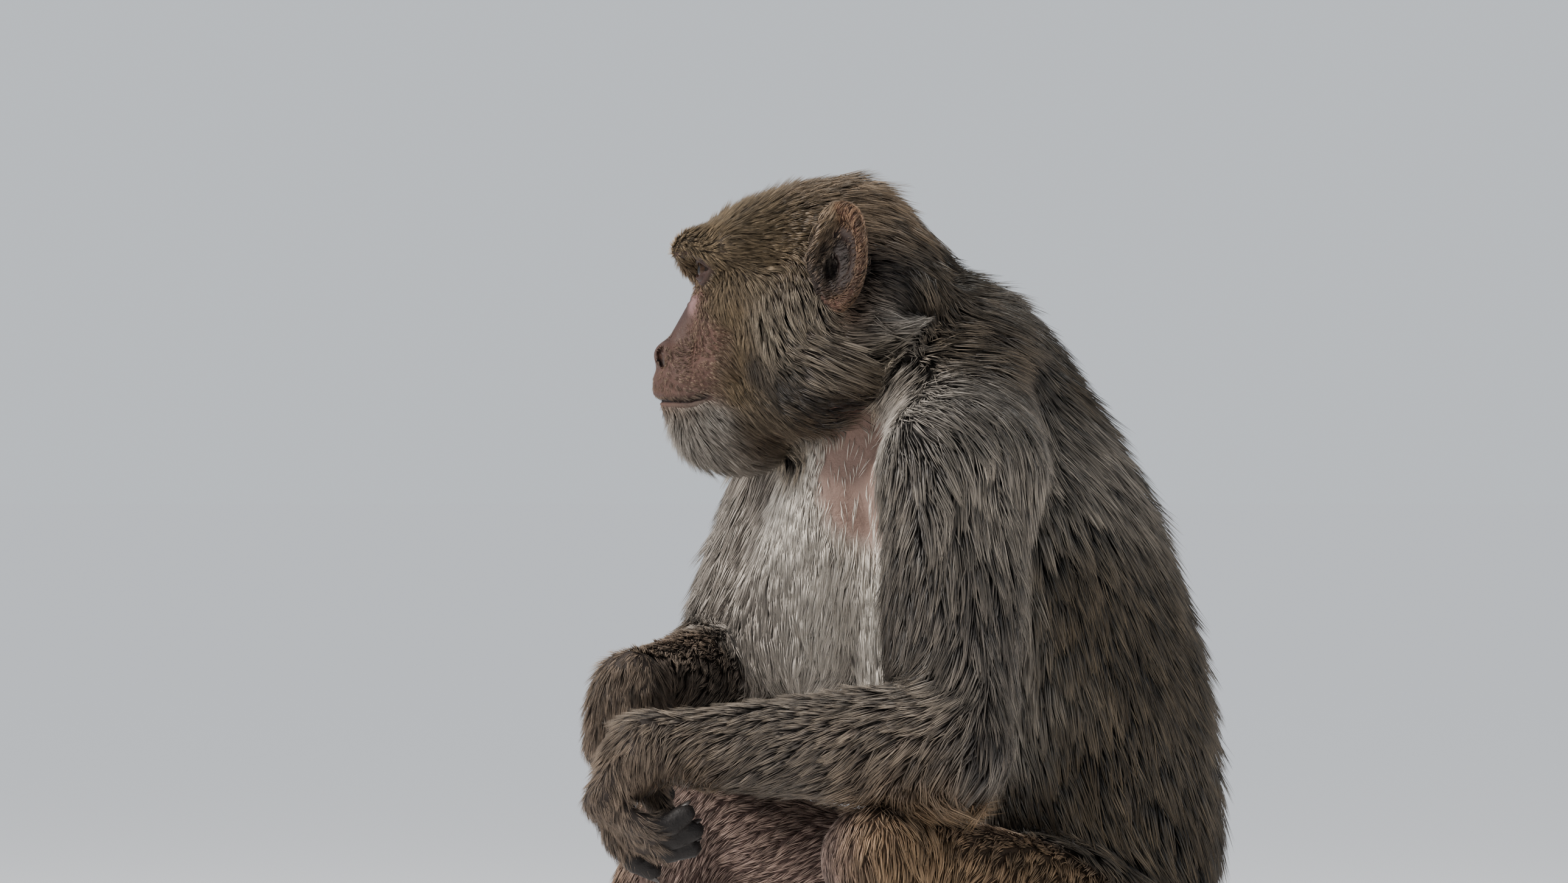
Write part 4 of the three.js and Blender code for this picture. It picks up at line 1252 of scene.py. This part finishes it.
def scatter(verts, faces, maps, density):
    """Roots spread evenly over the triangles: their places, skin directions and map places."""
    a, b, c = (verts[faces[:, i]] for i in range(3))
    cross = np.cross(b - a, c - a)
    area = norms(cross) / 2
    middles = (a + b + c) / 3
    _, sizes, _ = comb(middles)
    share = (AREA[0] + AREA[1] * sizes[:, 0] / MM) * MM / density
    wanted = area / share * (1 - MOST_BARE * bareness(middles, unit(cross)))
    ends = np.cumsum(wanted)
    count = int(ends[-1])
    spread = (np.arange(count) + rng.random(count)) * ends[-1] / count
    face = np.searchsorted(ends, spread).clip(0, len(faces) - 1)
    u, v = rng.random(count), rng.random(count)
    u, v = np.where(u + v > 1, 1 - u, u), np.where(u + v > 1, 1 - v, v)
    mix = np.stack([1 - u - v, u, v], 1)
    roots = np.einsum("ni,nik->nk", mix, np.stack([a, b, c], 1)[face])
    places = np.einsum("ni,nik->nk", mix, maps[face])
    return roots, unit(cross)[face], places


def flat_to(way, normals):
    """The way, laid on the skin."""
    return unit(way - normals * (way * normals).sum(1)[:, None])


def onto_skin(points):
    """Points moved on to the skin from further off, and the way the skin faces there."""
    points, slope = moved_on(points, forms_near(points), step=0.8 * MM, least=0.3, most=8 * MM)
    return points, unit(slope)


def clump(roots, ends, count, pull):
    """Each lock's leader, the nearest of a few chosen ones, and the ends drawn towards its end."""
    lead = rng.choice(len(roots), max(count, 1), replace=False)
    tree = kdtree.KDTree(len(lead))
    for i, root in enumerate(roots[lead]):
        tree.insert(root, i)
    tree.balance()
    leader = lead[np.array([tree.find(root)[1] for root in roots])]
    return leader, ends + pull[:, None] * (ends[leader] - ends)


def lay_locks(roots, normals, way, sizes, bent):
    """Each lock's middle and end, laid over the body, the way the skin faces there and its tuft."""
    count = len(roots)
    wave = np.sin(roots @ rng.normal(0, 150, (3, 3)) + rng.random(3) * 6)
    wave = 1.4 * wave * np.sin(roots @ rng.normal(0, 150, (3, 3)) + rng.random(3) * 6)
    way = way + WAVE * wave + rng.normal(0, STRAY, (count, 3))
    way = flat_to(way, normals)
    length = sizes[:, 0] * rng.uniform(0.75, 1.2, count)
    stand = 1 if bent else 1.3
    depth = sizes[:, 1] * rng.uniform(0.45, 1.0, count) * (1 + 0.2 * wave[:, 0]) * stand

    middle, up = onto_skin(roots + way * (length * BEND)[:, None])
    later, _, _ = comb(middle)
    onward = flat_to(later + WAVE * wave, up)
    ends, out = onto_skin(middle + onward * (length * (1 - BEND))[:, None])
    middle = middle + up * (depth * 0.5)[:, None]
    ends = ends + out * depth[:, None]
    pull = rng.uniform(0.35, 0.8, count)
    leader, ends = clump(roots, ends, count // LOCKS_IN_TUFT, pull)
    lift = rng.uniform(0.75, 1.25, count)[leader] * depth - depth
    ends = ends + out * lift[:, None]
    middle = middle + (pull * 0.35)[:, None] * (middle[leader] - middle) + up * (lift * 0.5)[:, None]
    ends[:, 2] = np.maximum(ends[:, 2], OFF_FLOOR)
    middle[:, 2] = np.maximum(middle[:, 2], OFF_FLOOR)
    return middle, ends, up, leader, length


def lock_shades(coat, leader, bent):
    """The colour of each lock's corners: dark at the root, and a tip as light as chance has it."""
    count = len(coat)
    tone = rng.normal(0, 0.24, count)[leader] + rng.normal(0, 0.14, count)
    tone = 1 + tone * np.clip(1.15 - 1.6 * coat[:, 1].mean(axis=1), 0.2, 1)
    light = rng.random(count) ** 1.6
    root, mid, tip = (coat[:, i] for i in range(3))
    mid = mid * (0.7 + 0.5 * light)[:, None]
    tip = mid + (tip - mid) * (0.3 + 1.1 * light)[:, None]
    # A bent lock's sides are darker and its ridge lighter than its middle: painted shade down the
    # sides and a painted highlight along the ridge.
    shades = ([root * 0.8, mid * 0.75, mid * 0.75, mid * 1.25] if bent else [root * 0.8] * 3) + [tip]
    shades = np.stack(shades, 1) * np.clip(tone, 0.4, 1.7)[:, None, None]
    return np.clip(shades, 0, 1).reshape(-1, 3)


def grow(name, verts, faces, density, bent):
    """One piece of coat over the given skin triangles, of bent locks or of straight spikes."""
    roots, normals, places = scatter(verts, faces, unwrap(name, verts, faces), density)
    count = len(roots)
    way, sizes, coat = comb(roots)
    middle, ends, up, leader, length = lay_locks(roots, normals, way, sizes, bent)
    width = ((THINNEST + THICKENING * length) * rng.uniform(0.7, 1.25, count) / 2)[:, None]
    start = roots - normals * 0.6 * MM
    ahead = unit(ends - start)
    at, above = (middle, up) if bent else (start, normals)
    side = unit(np.cross(ahead, above))
    ring = [at - side * width, at + side * width, at + np.cross(side, ahead) * width * 0.7]
    corners = np.stack(([start] if bent else []) + ring + [ends], 1)
    size = corners.shape[1]
    a, b, c, end = range(size - 4, size)
    root_end = [(0, a, b), (0, b, c), (0, c, a)] if bent else [(a, b, c)]
    closed = [(a, end, b), (b, end, c), (c, end, a)] + root_end
    loops = (np.arange(count)[:, None, None] * size + np.array(closed)).ravel()

    mesh = bpy.data.meshes.new(f"coat_{name}")
    mesh.vertices.add(count * size)
    mesh.vertices.foreach_set("co", corners.ravel())
    mesh.loops.add(len(loops))
    mesh.loops.foreach_set("vertex_index", loops)
    mesh.polygons.add(len(loops) // 3)
    mesh.polygons.foreach_set("loop_start", np.arange(0, len(loops), 3))
    mesh.polygons.foreach_set("use_smooth", np.ones(len(loops) // 3, bool))
    mesh.update(calc_edges=True)
    add_colour(mesh, "tone", lock_shades(coat, leader, bent))
    patch = [(0, 0), (-0.5, 0.4), (0.5, 0.4), (0, 0.5)] if bent else [(-0.5, 0), (0.5, 0), (0, 0.1)]
    spots = (places[:, None] + PATCH * np.array(patch + [(0, 1)])).reshape(-1, 2)
    mesh.uv_layers.new(name="OFBake").data.foreach_set("uv", spots[loops].ravel())
    mesh.materials.append(fur.material)
    return piece(f"coat_{name}", mesh)


fur = Finish("fur", Roughness=0.5, Specular_IOR_Level=0.3)
fur.feed(fur.surface, {"Base Color": fur.attribute("tone")})
hide_mesh.calc_loop_triangles()
triangles = read(hide_mesh.loop_triangles, "vertices", 3, int)
regions = coat_regions(points[triangles].mean(axis=1))
for region in sorted(set(regions)):
    kind = region.split("_")[0]
    part = region.rsplit("_", 1)[0]
    density = THICK.get(part, THICK.get(kind))
    coat_piece = grow(region, points, triangles[regions == region], density, part not in SPIKED)
    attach(coat_piece, "root")

# ---------- eyes ----------
# Glass eyes set in behind the lids: dark balls, each a little fuller at the cornea, with an
# amber-brown iris and a black pupil painted on under a clear coat.
IRIS_EDGE = 0.64  # how far round the ball from its front, in radians
glass = Finish("eye", Roughness=0.3, Coat_Weight=0.12, Coat_Roughness=0.03, Specular_IOR_Level=0.1)
glass.feed(glass.surface, {"Base Color": glass.attribute("tone")})


def ball(radii, rings, around):
    """A closed ellipsoid: how far from its pole and how far round each corner is, and its faces."""
    polar = np.repeat(np.linspace(0, math.pi, rings + 1)[1:-1], around)
    turn = np.tile(np.arange(around) * 2 * math.pi / around, rings - 1)
    polar, turn = np.r_[0, polar, math.pi], np.r_[0, turn, 0]
    shape = np.stack([np.sin(polar) * np.cos(turn), np.sin(polar) * np.sin(turn), np.cos(polar)], 1)
    last = len(shape) - 1

    def at(i, j):
        return 1 + i * around + j % around

    faces = [(0, at(0, j), at(0, j + 1)) for j in range(around)]
    for i in range(rings - 2):
        faces += [(at(i, j), at(i + 1, j), at(i + 1, j + 1), at(i, j + 1)) for j in range(around)]
    faces += [(last, at(rings - 2, j + 1), at(rings - 2, j)) for j in range(around)]
    return polar, turn, shape * radii, faces


for side, s in SIDES.items():
    polar, turn, shape, faces = ball(np.full(3, EYE["radius"] - 0.1 * MM), 48, 96)
    cornea = 1 + 0.05 * smooth(0.75, 0.3, polar)
    c, n = math.cos(EYE["gaze"]), math.sin(EYE["gaze"])
    axes = np.array([[s * c, n, 0], [0, 0, 1], [s * n, -c, 0]])
    corners = from_head((shape * cornea[:, None]) @ axes + EYE["centre"] * (s, 1, 1))
    white, iris, pupil = tint(30, 21, 18), tint(44, 28, 17), tint(3, 3, 3)
    streak = 0.75 + 0.35 * np.sin(turn * 31) * np.sin(turn * 17 + 1)
    tone = white + smooth(0.68, 0.6, polar)[:, None] * (iris * streak[:, None] - white)
    tone *= (1 - 0.75 * np.exp(-(((polar - IRIS_EDGE) / 0.06) ** 2)))[:, None]  # a dark ring
    tone += smooth(0.27, 0.22, polar)[:, None] * (pupil - tone)
    eye_mesh = mesh_of(f"eyeball_{side}", corners, faces)
    eye_mesh.shade_smooth()
    add_colour(eye_mesh, "tone", tone)
    eye_mesh.materials.append(glass.material)
    eyeball = piece(f"eyeball_{side}", eye_mesh)
    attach(eyeball, "root")
    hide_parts(f"eye_{side}")

# ---------- nails ----------
# Dark horn nails, each a flat arched oval let into the end of a finger or toe; one piece is made of
# the five to a hand or foot.
NAIL = mm(3.3, 1.3, 5)  # half its width, thickness and length
NAIL_ARCH = 0.12  # mm that its sides drop, for each mm2 across it
NAIL_RISE = {"hand": 3.9, "foot": 3.4}  # how far above the last bone it lies
horn = Finish("horn", Base_Color=(*tint(38, 32, 30), 1), Roughness=0.38)
for name, ends in tips.items():
    corners, faces = [], []
    for last, end, above in ends:
        ahead = unit(end - last)
        above = unit(above - ahead * (above @ ahead))
        _, _, shape, closed = ball(NAIL, 10, 16)
        across = np.cross(above, ahead)
        middle = mm(*(end + ahead * 1.2 + above * NAIL_RISE[name[:4]]))
        shape[:, 1] -= (shape[:, 0] / MM) ** 2 * NAIL_ARCH * MM
        faces += [tuple(len(corners) * len(shape) + i for i in face) for face in closed]
        corners.append(middle + shape @ np.array([across, above, ahead]))
    nail_mesh = mesh_of(f"nails_{name}", np.concatenate(corners), faces)
    nail_mesh.shade_smooth()
    nail_mesh.materials.append(horn.material)
    nails = piece(f"nails_{name}", nail_mesh)
    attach(nails, "root")

# ---------- floor, light and camera ----------
# A wide pale floor under an even pale sky, a large soft key lamp from the upper left and a weak one
# from behind for the rim of the fur. The camera looks at the left side, a little from the front.
FLOOR_RADIUS = 60
floor_mesh = bpy.data.meshes.new("floor")
floor_shape = bmesh.new()
bmesh.ops.create_circle(floor_shape, cap_ends=True, segments=64, radius=FLOOR_RADIUS)
floor_shape.to_mesh(floor_mesh)
floor_shape.free()
put("floor", floor_mesh)
pale = Finish("pale_floor", Base_Color=(0.995, 0.985, 0.985, 1), Specular_IOR_Level=0, Roughness=0.9)
floor_mesh.materials.append(pale.material)

world = bpy.data.worlds.new("sky")
world.use_nodes = True
sky = world.node_tree.nodes["Background"].inputs
sky["Color"].default_value = (0.86, 0.91, 0.97, 1)
sky["Strength"].default_value = 0.8
bpy.context.scene.world = world


def lamp(name, place, aim, size, power, colour):
    light = bpy.data.lights.new(name, "AREA")
    light.shape = "DISK"
    light.size = size
    light.energy = power
    light.color = colour
    thing = put(name, light)
    thing.location = place
    thing.rotation_euler = (Vector(aim) - Vector(place)).to_track_quat("-Z", "Y").to_euler()


VIEW = math.radians(55)  # the camera's bearing
RIGHT = np.array([math.cos(VIEW), math.sin(VIEW), 0])
BACK = np.array([math.sin(VIEW), -math.cos(VIEW), 0])
AIM = RIGHT * -84.5 * MM + mm(0, 0, 363) + UNDER_CHEST
lamp("key", AIM + BACK * 0.75 - RIGHT * 1.6 + mm(0, 0, 1350), AIM, 0.6, 115, (1, 0.96, 0.9))
lamp("rim", AIM - BACK * 0.9 + RIGHT * 1.0 + mm(0, 0, 1500), AIM, 0.7, 22, (1, 0.95, 0.86))

DISTANCE = 6.0
FRAME_WIDTH = 0.831  # what the frame takes in at the animal
camera = bpy.data.cameras.new("camera")
camera.sensor_width = 36
camera.lens = camera.sensor_width * DISTANCE / FRAME_WIDTH
camera_thing = put("camera", camera)
camera_thing.location = AIM + BACK * DISTANCE
camera_thing.rotation_euler = (math.pi / 2, 0, VIEW)
bpy.context.scene.camera = camera_thing
